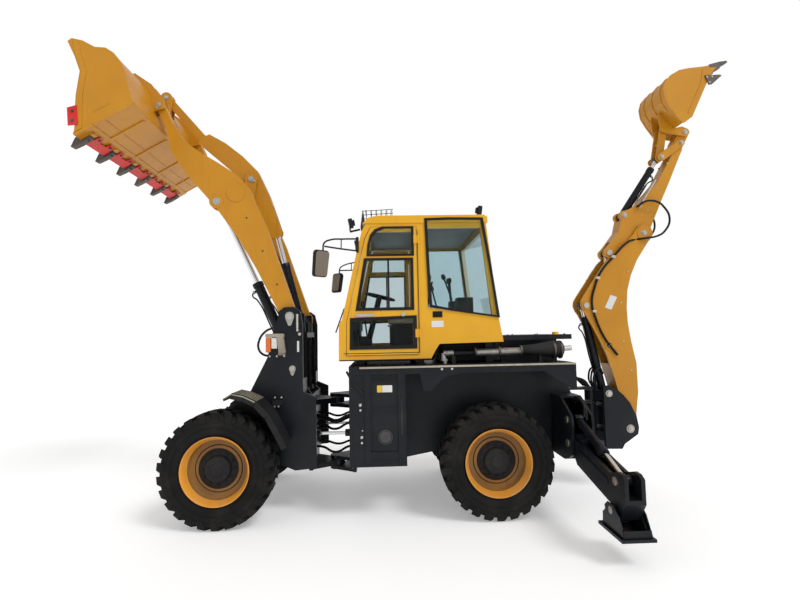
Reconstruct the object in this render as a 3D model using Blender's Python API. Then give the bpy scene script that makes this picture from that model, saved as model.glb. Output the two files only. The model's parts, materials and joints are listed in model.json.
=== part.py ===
"""Backhoe loader with an articulated frame: loader in front, backhoe at the rear.

Metres, +X forward, +Y to the driver's left, +Z up, tyres standing on Z = 0.
Sizes below are counted from the point on the ground midway between the two axles.
MACHINE_X then moves the whole machine, so that the origin is the middle of its length.
"""
import bpy
import bmesh
from math import atan2, cos, hypot, pi, radians, sin
from mathutils import Matrix, Vector

# ---- driving dimensions ----
MACHINE_X = 0.8915
GAP = 0.0003          # between pieces that touch
AXLE_X = 1.43         # half the wheelbase
WHEEL_Y = 0.863       # centre plane of each wheel
TYRE_R = 0.585
TYRE_W = 0.400
RIM_R = 0.345
WHEEL_SIDES = 30
STEER_X = 0.30        # upright pin between the front and the rear frame

# pins across the machine, as (x, z)
ARM_PIVOT = (0.752, 2.138)
LIFT_BASE = (0.724, 1.564)
LIFT_EYE = (1.575, 3.452)
BUCKET_PIN = (2.214, 4.560)
CRANK_PIVOT = (1.317, 3.859)
CRANK_TOP = (1.894, 4.361)
CRANK_FOOT = (1.025, 3.204)
LINK_PIN = (2.373, 4.916)
BOOM_FOOT = (-3.243, 0.722)
BOOM_CYL_BASE = (-3.000, 1.149)
BOOM_CYL_EYE = (-2.784, 2.225)
DIPPER_PIVOT = (-3.561, 3.120)
DIPPER_CYL_BASE = (-3.049, 1.730)
DIPPER_CYL_EYE = (-3.127, 2.882)
DIG_PIVOT = (-4.186, 4.427)
ROCKER_PIVOT = (-4.116, 4.279)
ROCKER_TIP = (-3.851, 4.097)
DIG_LINK_PIN = (-3.923, 4.475)
DIG_CYL_BASE = (-3.339, 3.356)

# cross positions (y) of the loader's side pieces
ARM_Y = (0.500, 0.580)
LIFT_CYL_Y = 0.400
TOWER_OUT = (0.600, 0.640)
TOWER_IN = (0.290, 0.320)

# steering cylinders
STEER_BASE = (-0.420, 0.320)
STEER_EYE = (0.500, 0.330)
STEER_CYL_Z = 0.800

# swing post and stabilisers
SWING_X = -2.840
LEG_X = (-2.374, -2.201)
LEG_PIVOT = (0.980, 0.760)      # (y, z)
LEG_CYL_BASE = (0.980, 1.000)
LEG_CYL_EYE = (1.950, 0.650)
FOOT_PIN = (1.905, 0.400)

# cab
CAB_HALF = 0.800
CAB_WALL = 0.045
CAB_SIDE = [(0.204, 1.640), (0.199, 2.040), (0.167, 2.080), (-0.010, 2.850),
            (-0.060, 3.050), (-0.110, 3.128), (-1.425, 3.128), (-1.536, 2.065),
            (-1.579, 1.815), (-0.872, 1.805), (-0.784, 1.640)]
DOOR_HINGE = (-0.672, 0.822)    # (x, y)

ORIGIN_EMPTY = "machine_origin"


# ---- materials ----
def paint(name, colour, roughness, metallic=0.0):
    """One Principled material with a plain colour."""
    made = bpy.data.materials.get(name)
    if made:
        return made
    made = bpy.data.materials.new(name)
    made.use_nodes = True
    shader = made.node_tree.nodes["Principled BSDF"]
    shader.inputs["Base Color"].default_value = (*colour, 1.0)
    shader.inputs["Roughness"].default_value = roughness
    shader.inputs["Metallic"].default_value = metallic
    made.diffuse_color = (*colour, 1.0)
    return made


FINISH = {
    "yellow": ((0.74, 0.36, 0.03), 0.35, 0.0),
    "black": ((0.018, 0.020, 0.024), 0.45, 0.0),
    "tyre": ((0.020, 0.020, 0.021), 0.85, 0.0),
    "rim": ((0.72, 0.33, 0.03), 0.45, 0.0),
    "chrome": ((0.75, 0.76, 0.78), 0.12, 1.0),
    "glass": ((0.70, 0.82, 0.85), 0.05, 0.0),
    "seat": ((0.55, 0.47, 0.35), 0.80, 0.0),
    "steel": ((0.20, 0.18, 0.17), 0.55, 0.8),
    "trim": ((0.06, 0.06, 0.065), 0.60, 0.0),
    "cream": ((0.60, 0.55, 0.45), 0.60, 0.0),
}


# ---- solids ----
def holder():
    """The empty that every piece of the machine hangs from."""
    made = bpy.data.objects.get(ORIGIN_EMPTY)
    if made is None:
        made = bpy.data.objects.new(ORIGIN_EMPTY, None)
        made.location = (MACHINE_X, 0.0, 0.0)
        bpy.context.scene.collection.objects.link(made)
    return made


def mesh_object(bm, name="shape"):
    """A temporary object from a bmesh, with its faces turned outwards."""
    bmesh.ops.recalc_face_normals(bm, faces=bm.faces)
    mesh = bpy.data.meshes.new(name)
    bm.to_mesh(mesh)
    bm.free()
    made = bpy.data.objects.new(name, mesh)
    bpy.context.scene.collection.objects.link(made)
    return made


def pushed(outline, low, high, place):
    """A closed outline pushed from low to high; place turns (u, v, w) into a point."""
    bm = bmesh.new()
    face = bm.faces.new([bm.verts.new(place(u, v, low)) for u, v in outline])
    grown = bmesh.ops.extrude_face_region(bm, geom=[face])["geom"]
    top = [item for item in grown if isinstance(item, bmesh.types.BMVert)]
    shift = Vector(place(0.0, 0.0, high)) - Vector(place(0.0, 0.0, low))
    bmesh.ops.translate(bm, verts=top, vec=shift)
    return mesh_object(bm)


def plate_y(outline, low, high):
    """An outline in (x, z) pushed across the machine."""
    return pushed(outline, low, high, lambda u, v, w: (u, w, v))


def plate_z(outline, low, high):
    """An outline in (x, y) pushed upwards."""
    return pushed(outline, low, high, lambda u, v, w: (u, v, w))


def plate_x(outline, low, high):
    """An outline in (y, z) pushed along the machine."""
    return pushed(outline, low, high, lambda u, v, w: (w, u, v))


def block(x, y, z):
    """A box between the limits x, y and z, each a pair."""
    return plate_z([(x[0], y[0]), (x[1], y[0]), (x[1], y[1]), (x[0], y[1])], z[0], z[1])


def circle(centre, radius, sides=20, start=0.0, sweep=2 * pi):
    """Points on an arc; a full circle leaves out its repeated last point."""
    steps = sides if sweep >= 2 * pi else sides - 1
    return [(centre[0] + radius * cos(start + sweep * i / steps),
             centre[1] + radius * sin(start + sweep * i / steps)) for i in range(sides)]


def boss_y(pin, radius, low, high, sides=20):
    """A round boss across the machine at a pin given as (x, z)."""
    return plate_y(circle(pin, radius, sides), low, high)


def boss_x(pin, radius, low, high, sides=20):
    """A round boss along the machine at a pin given as (y, z)."""
    return plate_x(circle(pin, radius, sides), low, high)


def boss_z(pin, radius, low, high, sides=20):
    """A round upright boss at a pin given as (x, y)."""
    return plate_z(circle(pin, radius, sides), low, high)


def turned(profile, centre, axis, sides=32):
    """A closed (radius, length) profile spun about an axis through centre."""
    direction = Vector(axis).normalized()
    turn = Vector((0, 0, 1)).rotation_difference(direction).to_matrix()
    bm = bmesh.new()
    rings = []
    for step in range(sides):
        angle = 2 * pi * step / sides
        rings.append([bm.verts.new(Vector(centre) + turn @ Vector(
            (radius * cos(angle), radius * sin(angle), length))) for radius, length in profile])
    for step in range(sides):
        here, after = rings[step], rings[(step + 1) % sides]
        for i in range(len(profile)):
            j = (i + 1) % len(profile)
            if profile[i][0] > 0.0 or profile[j][0] > 0.0:
                bm.faces.new((here[i], here[j], after[j], after[i]))
    bmesh.ops.remove_doubles(bm, verts=bm.verts, dist=1e-5)
    bmesh.ops.dissolve_degenerate(bm, edges=bm.edges, dist=1e-6)
    return mesh_object(bm)


def rod(start, end, radius, sides=16):
    """A round bar between two points."""
    start, end = Vector(start), Vector(end)
    length = (end - start).length
    return turned([(0.0, 0.0), (radius, 0.0), (radius, length), (0.0, length)],
                  start, end - start, sides)


def combine(base, others, operation):
    """Joins shapes to the base, or cuts them from it, and removes them."""
    for other in others:
        other.display_type = "WIRE"
        other.hide_render = True
        step = base.modifiers.new(operation.lower(), "BOOLEAN")
        step.operation = operation
        step.solver = "EXACT"
        step.object = other
        made = bpy.data.meshes.new_from_object(
            base.evaluated_get(bpy.context.evaluated_depsgraph_get()))
        base.modifiers.clear()
        old = base.data
        base.data = made
        bpy.data.meshes.remove(old)
        spare = other.data
        bpy.data.objects.remove(other)
        bpy.data.meshes.remove(spare)
    return base


def mirrored(shape):
    """A copy of a shape on the machine's other side."""
    bm = bmesh.new()
    bm.from_mesh(shape.data)
    bmesh.ops.scale(bm, vec=(1, -1, 1), verts=bm.verts)
    return mesh_object(bm)


def piece(name, finish, shapes, cuts=(), origin=(0.0, 0.0, 0.0)):
    """One named sub-part: its shapes joined to one body, its origin on its joint."""
    made = combine(shapes[0], shapes[1:], "UNION")
    made = combine(made, list(cuts), "DIFFERENCE")
    bm = bmesh.new()
    bm.from_mesh(made.data)
    bmesh.ops.remove_doubles(bm, verts=bm.verts, dist=2e-5)
    bmesh.ops.dissolve_degenerate(bm, edges=bm.edges, dist=1e-6)
    bmesh.ops.dissolve_limit(bm, angle_limit=radians(0.5), verts=bm.verts, edges=bm.edges)
    bmesh.ops.translate(bm, verts=bm.verts, vec=-Vector(origin))
    bmesh.ops.triangulate(bm, faces=bm.faces)
    bm.to_mesh(made.data)
    bm.free()
    made.data.shade_smooth()
    made.data.set_sharp_from_angle(angle=radians(32))
    made.name = name
    made.data.name = name
    made.data.materials.clear()
    made.data.materials.append(paint(finish, *FINISH[finish]))
    made.parent = holder()
    made.location = origin
    return made


def both_sides(shapes):
    """The shapes and their mirror images."""
    return shapes + [mirrored(shape) for shape in shapes]


def along(a, b, distance):
    """The point at a distance from a towards b, both (u, v)."""
    length = hypot(b[0] - a[0], b[1] - a[1])
    return (a[0] + (b[0] - a[0]) * distance / length, a[1] + (b[1] - a[1]) * distance / length)


def bar_outline(a, b, half_a, half_b, sides=10):
    """A flat bar from a to b with round ends of two half widths."""
    angle = atan2(b[1] - a[1], b[0] - a[0])
    return (circle(b, half_b, sides, angle - pi / 2, pi)
            + circle(a, half_a, sides, angle + pi / 2, pi))


def grown(outline, amount):
    """An outline pushed out from its middle by about an amount."""
    middle_x = (min(p[0] for p in outline) + max(p[0] for p in outline)) / 2
    middle_z = (min(p[1] for p in outline) + max(p[1] for p in outline)) / 2
    return [(x + (amount if x > middle_x else -amount), z + (amount if z > middle_z else -amount))
            for x, z in outline]


# ---- cylinders ----
def cylinder(name, base, eye, barrel_r, rod_r, barrel_length, rod_length, eye_half, to_point):
    """A hydraulic cylinder from its base pin to its rod's eye, as a barrel and a rod.

    base and eye are flat points; to_point turns one and a cross offset into 3-D.
    The barrel has a blind bore that the rod slides in.
    """
    centre = to_point(base, 0.0)
    tip = to_point(eye, 0.0)
    direction = (tip - centre).normalized()
    cross = (to_point(base, 1.0) - centre).normalized()
    base_r, eye_r, bore_r = barrel_r * 1.05, rod_r * 1.9, rod_r + 0.004
    wall_end = base_r + 0.012

    def eye_ring(at, radius, half):
        return rod(at - cross * half, at + cross * half, radius, 14)

    head = 0.06
    shell = turned([(0.0, base_r * 0.4), (barrel_r, base_r * 0.4),
                    (barrel_r, barrel_length - head), (barrel_r * 1.14, barrel_length - head),
                    (barrel_r * 1.14, barrel_length), (bore_r, barrel_length),
                    (bore_r, wall_end), (0.0, wall_end)], centre, direction, 14)
    piece(name + "_barrel", "black", [shell, eye_ring(centre, base_r, eye_half)], (), centre)
    length = (tip - centre).length
    bar = rod(centre + direction * (length - rod_length), centre + direction * length, rod_r, 12)
    piece(name + "_rod", "chrome", [bar, eye_ring(tip, eye_r, eye_half)], (), tip)


def side_point(y):
    """Turns (x, z) and a cross offset into a point near the plane y."""
    return lambda flat, offset: Vector((flat[0], y + offset, flat[1]))


# ---- wheels and axles ----
def wheels():
    """Four equal wheels: a tyre and a dished rim with its hub on each."""
    half = TYRE_W / 2
    # the tread's flats, not its corners, lie at the tyre's radius
    tread = TYRE_R / cos(pi / WHEEL_SIDES)
    tyre = [(RIM_R - 0.030, -half * 0.78), (RIM_R + 0.020, -half * 0.88),
            (TYRE_R * 0.80, -half), (TYRE_R * 0.955, -half * 0.97), (tread, -half * 0.86),
            (tread, half * 0.86), (TYRE_R * 0.955, half * 0.97), (TYRE_R * 0.80, half),
            (RIM_R + 0.020, half * 0.88), (RIM_R - 0.030, half * 0.78)]
    seat_r = RIM_R - 0.030 - GAP
    lip = half * 0.78 - GAP
    rim = [(0.0, -0.060), (0.190, -0.060), (0.190, 0.020), (seat_r - 0.020, 0.000),
           (seat_r - 0.020, -lip), (seat_r, -lip), (seat_r, lip + 0.001),
           (RIM_R, lip + 0.020), (RIM_R, lip + 0.030), (seat_r - 0.006, lip + 0.022),
           (seat_r - 0.020, lip), (seat_r - 0.020, 0.022), (0.205, 0.045),
           (0.195, 0.110), (0.150, 0.125), (0.0, 0.130)]
    for end, x in (("front", AXLE_X), ("rear", -AXLE_X)):
        for side, sign in (("left", 1), ("right", -1)):
            centre = (x, sign * WHEEL_Y, TYRE_R)
            piece(f"{end}_{side}_tyre", "tyre",
                  [turned(tyre, centre, (0, sign, 0), WHEEL_SIDES)], (), centre)
            piece(f"{end}_{side}_rim", "rim",
                  [turned(rim, centre, (0, sign, 0), WHEEL_SIDES)], (), centre)


def axle(name, x, pinion):
    """A drive axle: tube, differential housing, flanges and the pads it hangs from."""
    flange = WHEEL_Y - 0.060 - 0.006
    tube = turned([(0.0, -flange), (0.170, -flange), (0.170, -flange + 0.120), (0.095, -0.50),
                   (0.095, -0.26), (0.190, -0.13), (0.190, 0.13), (0.095, 0.26), (0.095, 0.50),
                   (0.170, flange - 0.120), (0.170, flange), (0.0, flange)],
                  (x, 0.0, TYRE_R), (0, 1, 0), 16)
    nose = rod((x, 0, TYRE_R), (x + pinion * 0.34, 0, TYRE_R + 0.02), 0.085)
    pads = both_sides([block((x - 0.10, x + 0.10), (0.36, 0.50), (TYRE_R - 0.02, TYRE_R + 0.130))])
    piece(name, "black", [tube, nose] + pads, (), (x, 0.0, TYRE_R))


# ---- front frame and loader ----
def front_frame():
    """Two towers of two plates each, the nose box, the steering lugs and the fenders."""
    outer = [(0.870, 2.195), (0.884, 2.106), (0.928, 2.002), (0.994, 1.696), (1.184, 1.320),
             (1.440, 1.080), (1.760, 0.960), (1.760, 0.740), (1.150, 0.740), (0.900, 0.560),
             (0.700, 0.470), (0.470, 0.490), (0.470, 1.250), (0.611, 1.310), (0.611, 2.060),
             (0.640, 2.195), (0.700, 2.240), (0.810, 2.240)]
    inner = [(0.850, 2.180), (0.880, 1.900), (0.900, 1.300), (1.180, 1.000), (1.180, 0.700),
             (0.900, 0.560), (0.560, 0.520), (0.560, 1.250), (0.611, 1.310), (0.640, 2.180)]
    nose = [(1.170, 1.000), (1.760, 0.960), (1.760, 0.740), (1.170, 0.740)]
    shapes = [block((0.555, 0.600), (-0.610, 0.610), (0.500, 1.240))]
    shapes += both_sides([plate_y(outer, *TOWER_OUT), plate_y(inner, *TOWER_IN),
                          plate_y(nose, *TOWER_IN)])
    shapes += [block((0.560, 1.740), (-0.610, 0.610), (0.785, 0.815)),
               block((1.730, 1.760), (-0.610, 0.610), (0.740, 0.960)),
               block((1.150, 1.175), (-0.610, 0.610), (0.790, 0.990)),
               block((0.612, 0.650), (-0.610, 0.610), (1.240, 1.450)),
               block((0.612, 0.640), (-0.300, 0.300), (1.440, 1.960))]
    shapes += both_sides([plate_y([(0.620, 1.800), (0.620, 2.060), (0.720, 2.210),
                                   (0.790, 2.190), (0.810, 2.100), (0.720, 1.860)],
                                  0.075, 0.105)])
    saddle = [(AXLE_X - 0.10, TYRE_R + 0.130 + GAP), (AXLE_X + 0.10, TYRE_R + 0.130 + GAP),
              (AXLE_X + 0.10, 0.790), (AXLE_X - 0.10, 0.790)]
    shapes += both_sides([plate_y(saddle, 0.36, 0.50)])
    # steering lugs behind the towers
    for low, high in ((1.110, 1.170), (0.375, 0.435)):
        lug = [(0.560, 0.260), (0.560, -0.260), (STEER_X, -0.090)]
        lug += circle((STEER_X, 0.0), 0.090, 9, -pi / 2, -pi)
        lug += [(STEER_X, 0.090)]
        shapes.append(plate_z(lug, low, high))
    shapes.append(block((0.555, 0.600), (-0.300, 0.300), (0.375, 0.520)))
    for z in (0.735, 0.845):
        ear = [(0.558, 0.410), (0.558, 0.250), (0.500, 0.275)]
        ear += circle(STEER_EYE, 0.048, 7, -pi / 2, -pi)
        ear += [(0.510, 0.385)]
        shapes += both_sides([plate_z(ear, z, z + 0.020)])
    # fenders behind the front tyres' tops
    fender = [(1.357, 1.300), (1.270, 1.345), (1.150, 1.318), (1.034, 1.262), (0.908, 1.128),
              (0.814, 0.952), (0.743, 0.810), (0.775, 0.800), (0.843, 0.938), (0.932, 1.105),
              (1.050, 1.232), (1.158, 1.287), (1.268, 1.313), (1.345, 1.277)]
    shapes += both_sides([plate_y(fender, 0.632, 1.030)])
    windows = both_sides([block((0.540, 0.612), (0.262, 0.425), (0.758, 0.842))])
    piece("front_frame", "black", shapes, windows, (STEER_X, 0.0, TYRE_R))


def lift_arms():
    """Two bent arms joined by a cross tube that carries the bell crank."""
    side = circle(ARM_PIVOT, 0.100, 8, radians(205), radians(110))
    side += [(1.123, 2.666), (1.323, 3.015), (1.580, 3.381), (1.930, 3.790), (2.085, 4.030),
             (2.140, 4.290)]
    side += circle(BUCKET_PIN, 0.050, 8, radians(-50), radians(200))
    side += [(2.080, 4.373), (1.945, 4.162), (1.785, 4.033), (1.554, 3.893), (1.330, 3.740),
             (1.205, 3.590), (1.130, 3.400), (1.011, 3.130)]
    tube_at = (1.360, 3.550)
    lug = [(tube_at[0] - 0.07, tube_at[1] - 0.03), (tube_at[0] + 0.07, tube_at[1] - 0.03)]
    lug += circle(CRANK_PIVOT, 0.075, 9, radians(-20), radians(220))
    shapes = both_sides([plate_y(side, *ARM_Y)])
    shapes.append(boss_y(tube_at, 0.080, -0.520, 0.520))
    shapes += both_sides([plate_y(lug, 0.070, 0.100),
                          boss_y(LIFT_EYE, 0.085, 0.455, 0.510),
                          boss_y(ARM_PIVOT, 0.100, 0.478, 0.510)])
    piece("lift_arms", "yellow", shapes, (), (ARM_PIVOT[0], 0.0, ARM_PIVOT[1]))


def bell_crank():
    """The Z-bar's rocking lever between the tilt cylinder and the bucket link."""
    back = [(1.840, 4.445), (1.640, 4.330), (1.429, 4.161), (1.242, 3.967), (1.106, 3.673),
            (0.960, 3.240)]
    front = [(1.095, 3.190), (1.230, 3.500), (1.330, 3.740), (1.480, 3.900), (1.700, 4.100),
             (1.930, 4.300)]
    web = plate_y(back[::-1] + [(1.890, 4.420), (1.950, 4.350)] + front[::-1], -0.057, 0.057)
    shapes = [web, boss_y(CRANK_TOP, 0.070, -0.057, 0.057),
              boss_y(CRANK_FOOT, 0.075, -0.057, 0.057),
              boss_y(CRANK_PIVOT, 0.095, -0.064, 0.064)]
    # two plates at each end: the bucket link and the rod's eye move between them
    cuts = [plate_y([(1.420, 4.300), (1.720, 3.900), (2.200, 4.200), (1.950, 4.700)],
                    -0.034, 0.034),
            plate_y([(0.900, 3.560), (1.400, 3.500), (1.300, 3.000), (0.800, 3.000)],
                    -0.034, 0.034)]
    piece("bell_crank", "yellow", shapes, cuts, (CRANK_PIVOT[0], 0.0, CRANK_PIVOT[1]))
    link = [plate_y(bar_outline(CRANK_TOP, LINK_PIN, 0.048, 0.048), -0.028, 0.028),
            boss_y(CRANK_TOP, 0.062, -0.028, 0.028), boss_y(LINK_PIN, 0.062, -0.028, 0.028)]
    piece("tilt_link", "yellow", link, (), (LINK_PIN[0], 0.0, LINK_PIN[1]))


def loader_bucket():
    """Bent shell, two side plates, lip, six teeth and the ears behind."""
    half, sheet = 1.190, 0.020
    outside = [(2.783, 3.974), (2.230, 4.292), (2.222, 4.330), (2.272, 4.490), (2.307, 4.646),
               (2.352, 4.743), (2.420, 4.827), (2.500, 4.880), (2.600, 4.888), (2.721, 4.955),
               (2.830, 4.980), (2.872, 4.950)]
    inside = [(2.862, 4.932), (2.828, 4.958), (2.728, 4.934), (2.606, 4.866), (2.506, 4.859),
              (2.434, 4.811), (2.371, 4.733), (2.327, 4.640), (2.292, 4.484), (2.243, 4.335),
              (2.248, 4.305), (2.793, 3.991)]
    cheek = outside + [(2.797, 4.791), (2.742, 4.634), (2.776, 4.394), (2.780, 4.250),
                       (2.770, 4.060), (2.795, 3.990)]
    shapes = [plate_y(outside + inside, -half + 0.010, half - 0.010)]
    shapes += both_sides([plate_y(grown(cheek, 0.004), half - 0.022, half)])
    lip = [(2.779, 3.966), (2.600, 4.069), (2.606, 4.092), (2.792, 3.984)]
    shapes.append(plate_y(lip, -half - 0.010, half + 0.010))
    ear = [(2.290, 4.480), (2.260, 4.490), (2.150, 4.520), (2.160, 4.620), (2.300, 4.800),
           (2.480, 4.925), (2.520, 4.925), (2.530, 4.870), (2.440, 4.830), (2.320, 4.640)]
    for low in (0.466, 0.594):
        shapes += both_sides([plate_y(ear, low, low + 0.020)])
    link_ear = [(2.320, 4.640), (2.300, 4.860)] + circle(LINK_PIN, 0.070, 7, radians(190),
                                                         radians(-170)) + [(2.520, 4.870)]
    shapes += both_sides([plate_y(link_ear, 0.036, 0.058)])
    for step in range(6):
        y = (step - 2.5) * 0.431
        tooth = [(2.640, 4.020), (2.800, 3.935), (2.868, 3.886), (2.858, 3.905), (2.815, 3.985),
                 (2.700, 4.052)]
        shapes.append(plate_y(tooth, y - 0.032, y + 0.032))
    piece("loader_bucket", "yellow", shapes, (), (BUCKET_PIN[0], 0.0, BUCKET_PIN[1]))


def loader_cylinders():
    """Two lift cylinders and one tilt cylinder."""
    for side, y in (("left", LIFT_CYL_Y), ("right", -LIFT_CYL_Y)):
        cylinder(f"{side}_lift", LIFT_BASE, LIFT_EYE, 0.055, 0.030, 1.070, 1.100, 0.045,
                 side_point(y))
    cylinder("tilt", ARM_PIVOT, CRANK_FOOT, 0.055, 0.030, 0.700, 0.990, 0.029, side_point(0.0))


def steering_cylinders():
    """Two cylinders between the frames, left and right of the upright pin."""
    for side, sign in (("left", 1), ("right", -1)):
        cylinder(f"{side}_steering", STEER_BASE, STEER_EYE, 0.036, 0.018, 0.600, 0.460, 0.028,
                 lambda flat, offset, s=sign: Vector((flat[0], s * flat[1], STEER_CYL_Z + offset)))


# ---- rear frame ----
def rear_frame():
    """Rails, side boxes, decks, steering clevis, stabiliser beam and kingpost bracket."""
    rail = [(0.090, 1.560), (0.090, 0.540), (-0.500, 0.540), (-0.950, 0.620), (-1.150, 0.800),
            (-1.720, 0.800), (-2.000, 0.600), (-2.170, 0.560), (-2.410, 0.560), (-2.410, 1.220),
            (-2.300, 1.560)]
    shapes = [block((0.060, 0.090), (-0.950, 0.950), (0.540, 1.590))]
    shapes += both_sides([plate_y(rail, 0.455, 0.485),
                          block((-0.500, 0.070), (0.470, 0.940), (0.560, 1.500)),
                          block((-2.305, 0.089), (0.440, 0.950), (1.500, 1.580))])
    skirt = [(-0.640, 1.520), (-0.689, 1.320), (-0.768, 1.320), (-0.863, 1.430), (-0.940, 1.470),
             (-1.077, 1.500), (-1.960, 1.500), (-2.270, 1.300), (-2.305, 1.300), (-2.305, 1.520)]
    shapes += both_sides([plate_y(skirt, 0.925, 0.950)])
    shapes += [block((-2.305, -1.620), (-0.460, 0.460), (1.530, 1.560)),
               block((-0.950, 0.080), (-0.460, 0.460), (1.530, 1.570)),
               block((-0.950, -0.920), (-0.460, 0.460), (0.640, 1.540)),
               block((-2.170, -2.140), (-0.460, 0.460), (0.600, 1.540))]
    # mounts under the cab, and the saddles over the axle
    shapes += both_sides([block((-0.060, 0.020), (0.560, 0.680), (1.560, 1.640 - GAP)),
                          block((-0.720, -0.640), (0.560, 0.680), (1.560, 1.640 - GAP)),
                          block((-1.500, -1.420), (0.500, 0.600), (1.560, 1.815 - GAP)),
                          block((-AXLE_X - 0.10, -AXLE_X + 0.10), (0.36, 0.50),
                                (TYRE_R + 0.130 + GAP, 0.860))])
    # steering clevis: plates above and below each lug of the front frame
    for low, high in ((1.060, 1.100), (1.180, 1.220), (0.325, 0.365), (0.445, 0.485)):
        lug = [(0.070, 0.240), (0.070, -0.240), (STEER_X, -0.085)]
        lug += circle((STEER_X, 0.0), 0.085, 9, -pi / 2, pi)
        lug += [(STEER_X, 0.085)]
        shapes.append(plate_z(lug, low, high))
    shapes.append(block((0.060, 0.100), (-0.240, 0.240), (0.325, 0.560)))
    # steering cylinder brackets between the rails
    for z in (0.735, 0.845):
        shapes += both_sides([block((-0.480, -0.370), (0.270, 0.470), (z, z + 0.020))])
    # stabiliser beam: two cross plates and their top
    beam = [(0.400, 1.215), (0.790, 1.215), (1.090, 1.050), (1.110, 0.950), (1.075, 0.650),
            (0.980, 0.600), (0.400, 0.560)]
    shapes += both_sides([plate_x(beam, -2.195, -2.170), plate_x(beam, -2.405, -2.380),
                          block((-2.395, -2.180), (0.400, 0.790), (1.195, 1.215)),
                          block((-2.395, -2.180), (0.400, 0.840), (0.560, 0.580))])
    shapes.append(block((-2.410, -2.380), (-0.460, 0.460), (0.560, 1.215)))
    # bracket behind the beam that holds the swing post
    neck = [(-2.390, 0.300), (-2.390, -0.300), (-2.480, -0.075), (SWING_X, -0.075)]
    neck += circle((SWING_X, 0.0), 0.075, 9, -pi / 2, -pi)
    neck += [(SWING_X, 0.075), (-2.480, 0.075)]
    for low, high in ((1.190, 1.215), (1.025, 1.050), (0.700, 0.725), (0.560, 0.585)):
        shapes.append(plate_z(neck, low, high))
    shapes.append(block((-2.560, -2.390), (-0.030, 0.030), (0.570, 1.200)))
    window = [block((0.0, 0.2), (-0.445, 0.445), (0.650, 1.000))]
    piece("rear_frame", "black", shapes, window, (0.0, 0.0, TYRE_R))


def engine_and_exhaust():
    """The engine as one plain block under its cover plate, and the exhaust beside it."""
    piece("engine", "trim", [block((-2.120, -1.640), (-0.330, 0.330), (0.850, 1.525)),
                             block((-2.100, -1.660), (-0.300, 0.300), (1.400, 1.500))])
    piece("engine_hood", "black",
          [block((-2.300, -1.640), (-0.400, 0.400), (1.560 + GAP, 1.830)),
           block((-2.420, -1.640), (-0.560, 0.560), (1.825, 1.880))])
    y, z = 0.700, 1.735
    shapes = [rod((-0.900, y, 1.700), (-1.080, y, 1.700), 0.045),
              rod((-1.060, y, 1.705), (-1.830, y, 1.725), 0.040),
              turned([(0.0, 0.0), (0.045, 0.0), (0.095, 0.080), (0.095, 0.400), (0.045, 0.460),
                      (0.045, 0.560), (0.0, 0.560)], (-1.800, y, z - 0.010), (-1, 0, 0), 20),
              block((-2.020, -1.960), (y - 0.030, y + 0.030), (1.580 + GAP, 1.700)),
              block((-1.040, -1.000), (y - 0.030, y + 0.030), (1.580 + GAP, 1.700))]
    piece("exhaust", "trim", shapes)


# ---- cab ----
def inset_side(amount):
    """The cab's side outline moved inwards, kept open above and below."""
    front = [(x - amount, z) for x, z in CAB_SIDE[0:6]]
    rear = [(x + amount, z) for x, z in CAB_SIDE[6:9]]
    low = 1.500
    return [(front[0][0], low)] + front + [(front[-1][0], 3.300), (rear[0][0], 3.300)] + rear \
        + [(rear[-1][0], low)]


DOOR_EDGE = [(-0.652, 1.700), (0.115, 1.700), (0.110, 2.060), (-0.055, 2.780), (-0.095, 2.960),
             (-0.160, 3.085), (-0.652, 3.085)]
PANES = [[(-0.600, 2.790), (-0.118, 2.790), (-0.150, 2.930), (-0.210, 3.030), (-0.600, 3.030)],
         [(-0.600, 2.190), (0.010, 2.190), (-0.095, 2.735), (-0.600, 2.735)],
         [(-0.600, 1.790), (0.055, 1.790), (0.055, 2.060), (0.045, 2.095), (-0.600, 2.095)]]
REAR_PANE = [(-0.765, 2.200), (-0.765, 3.070), (-1.362, 3.070), (-1.464, 2.090)]


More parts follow.
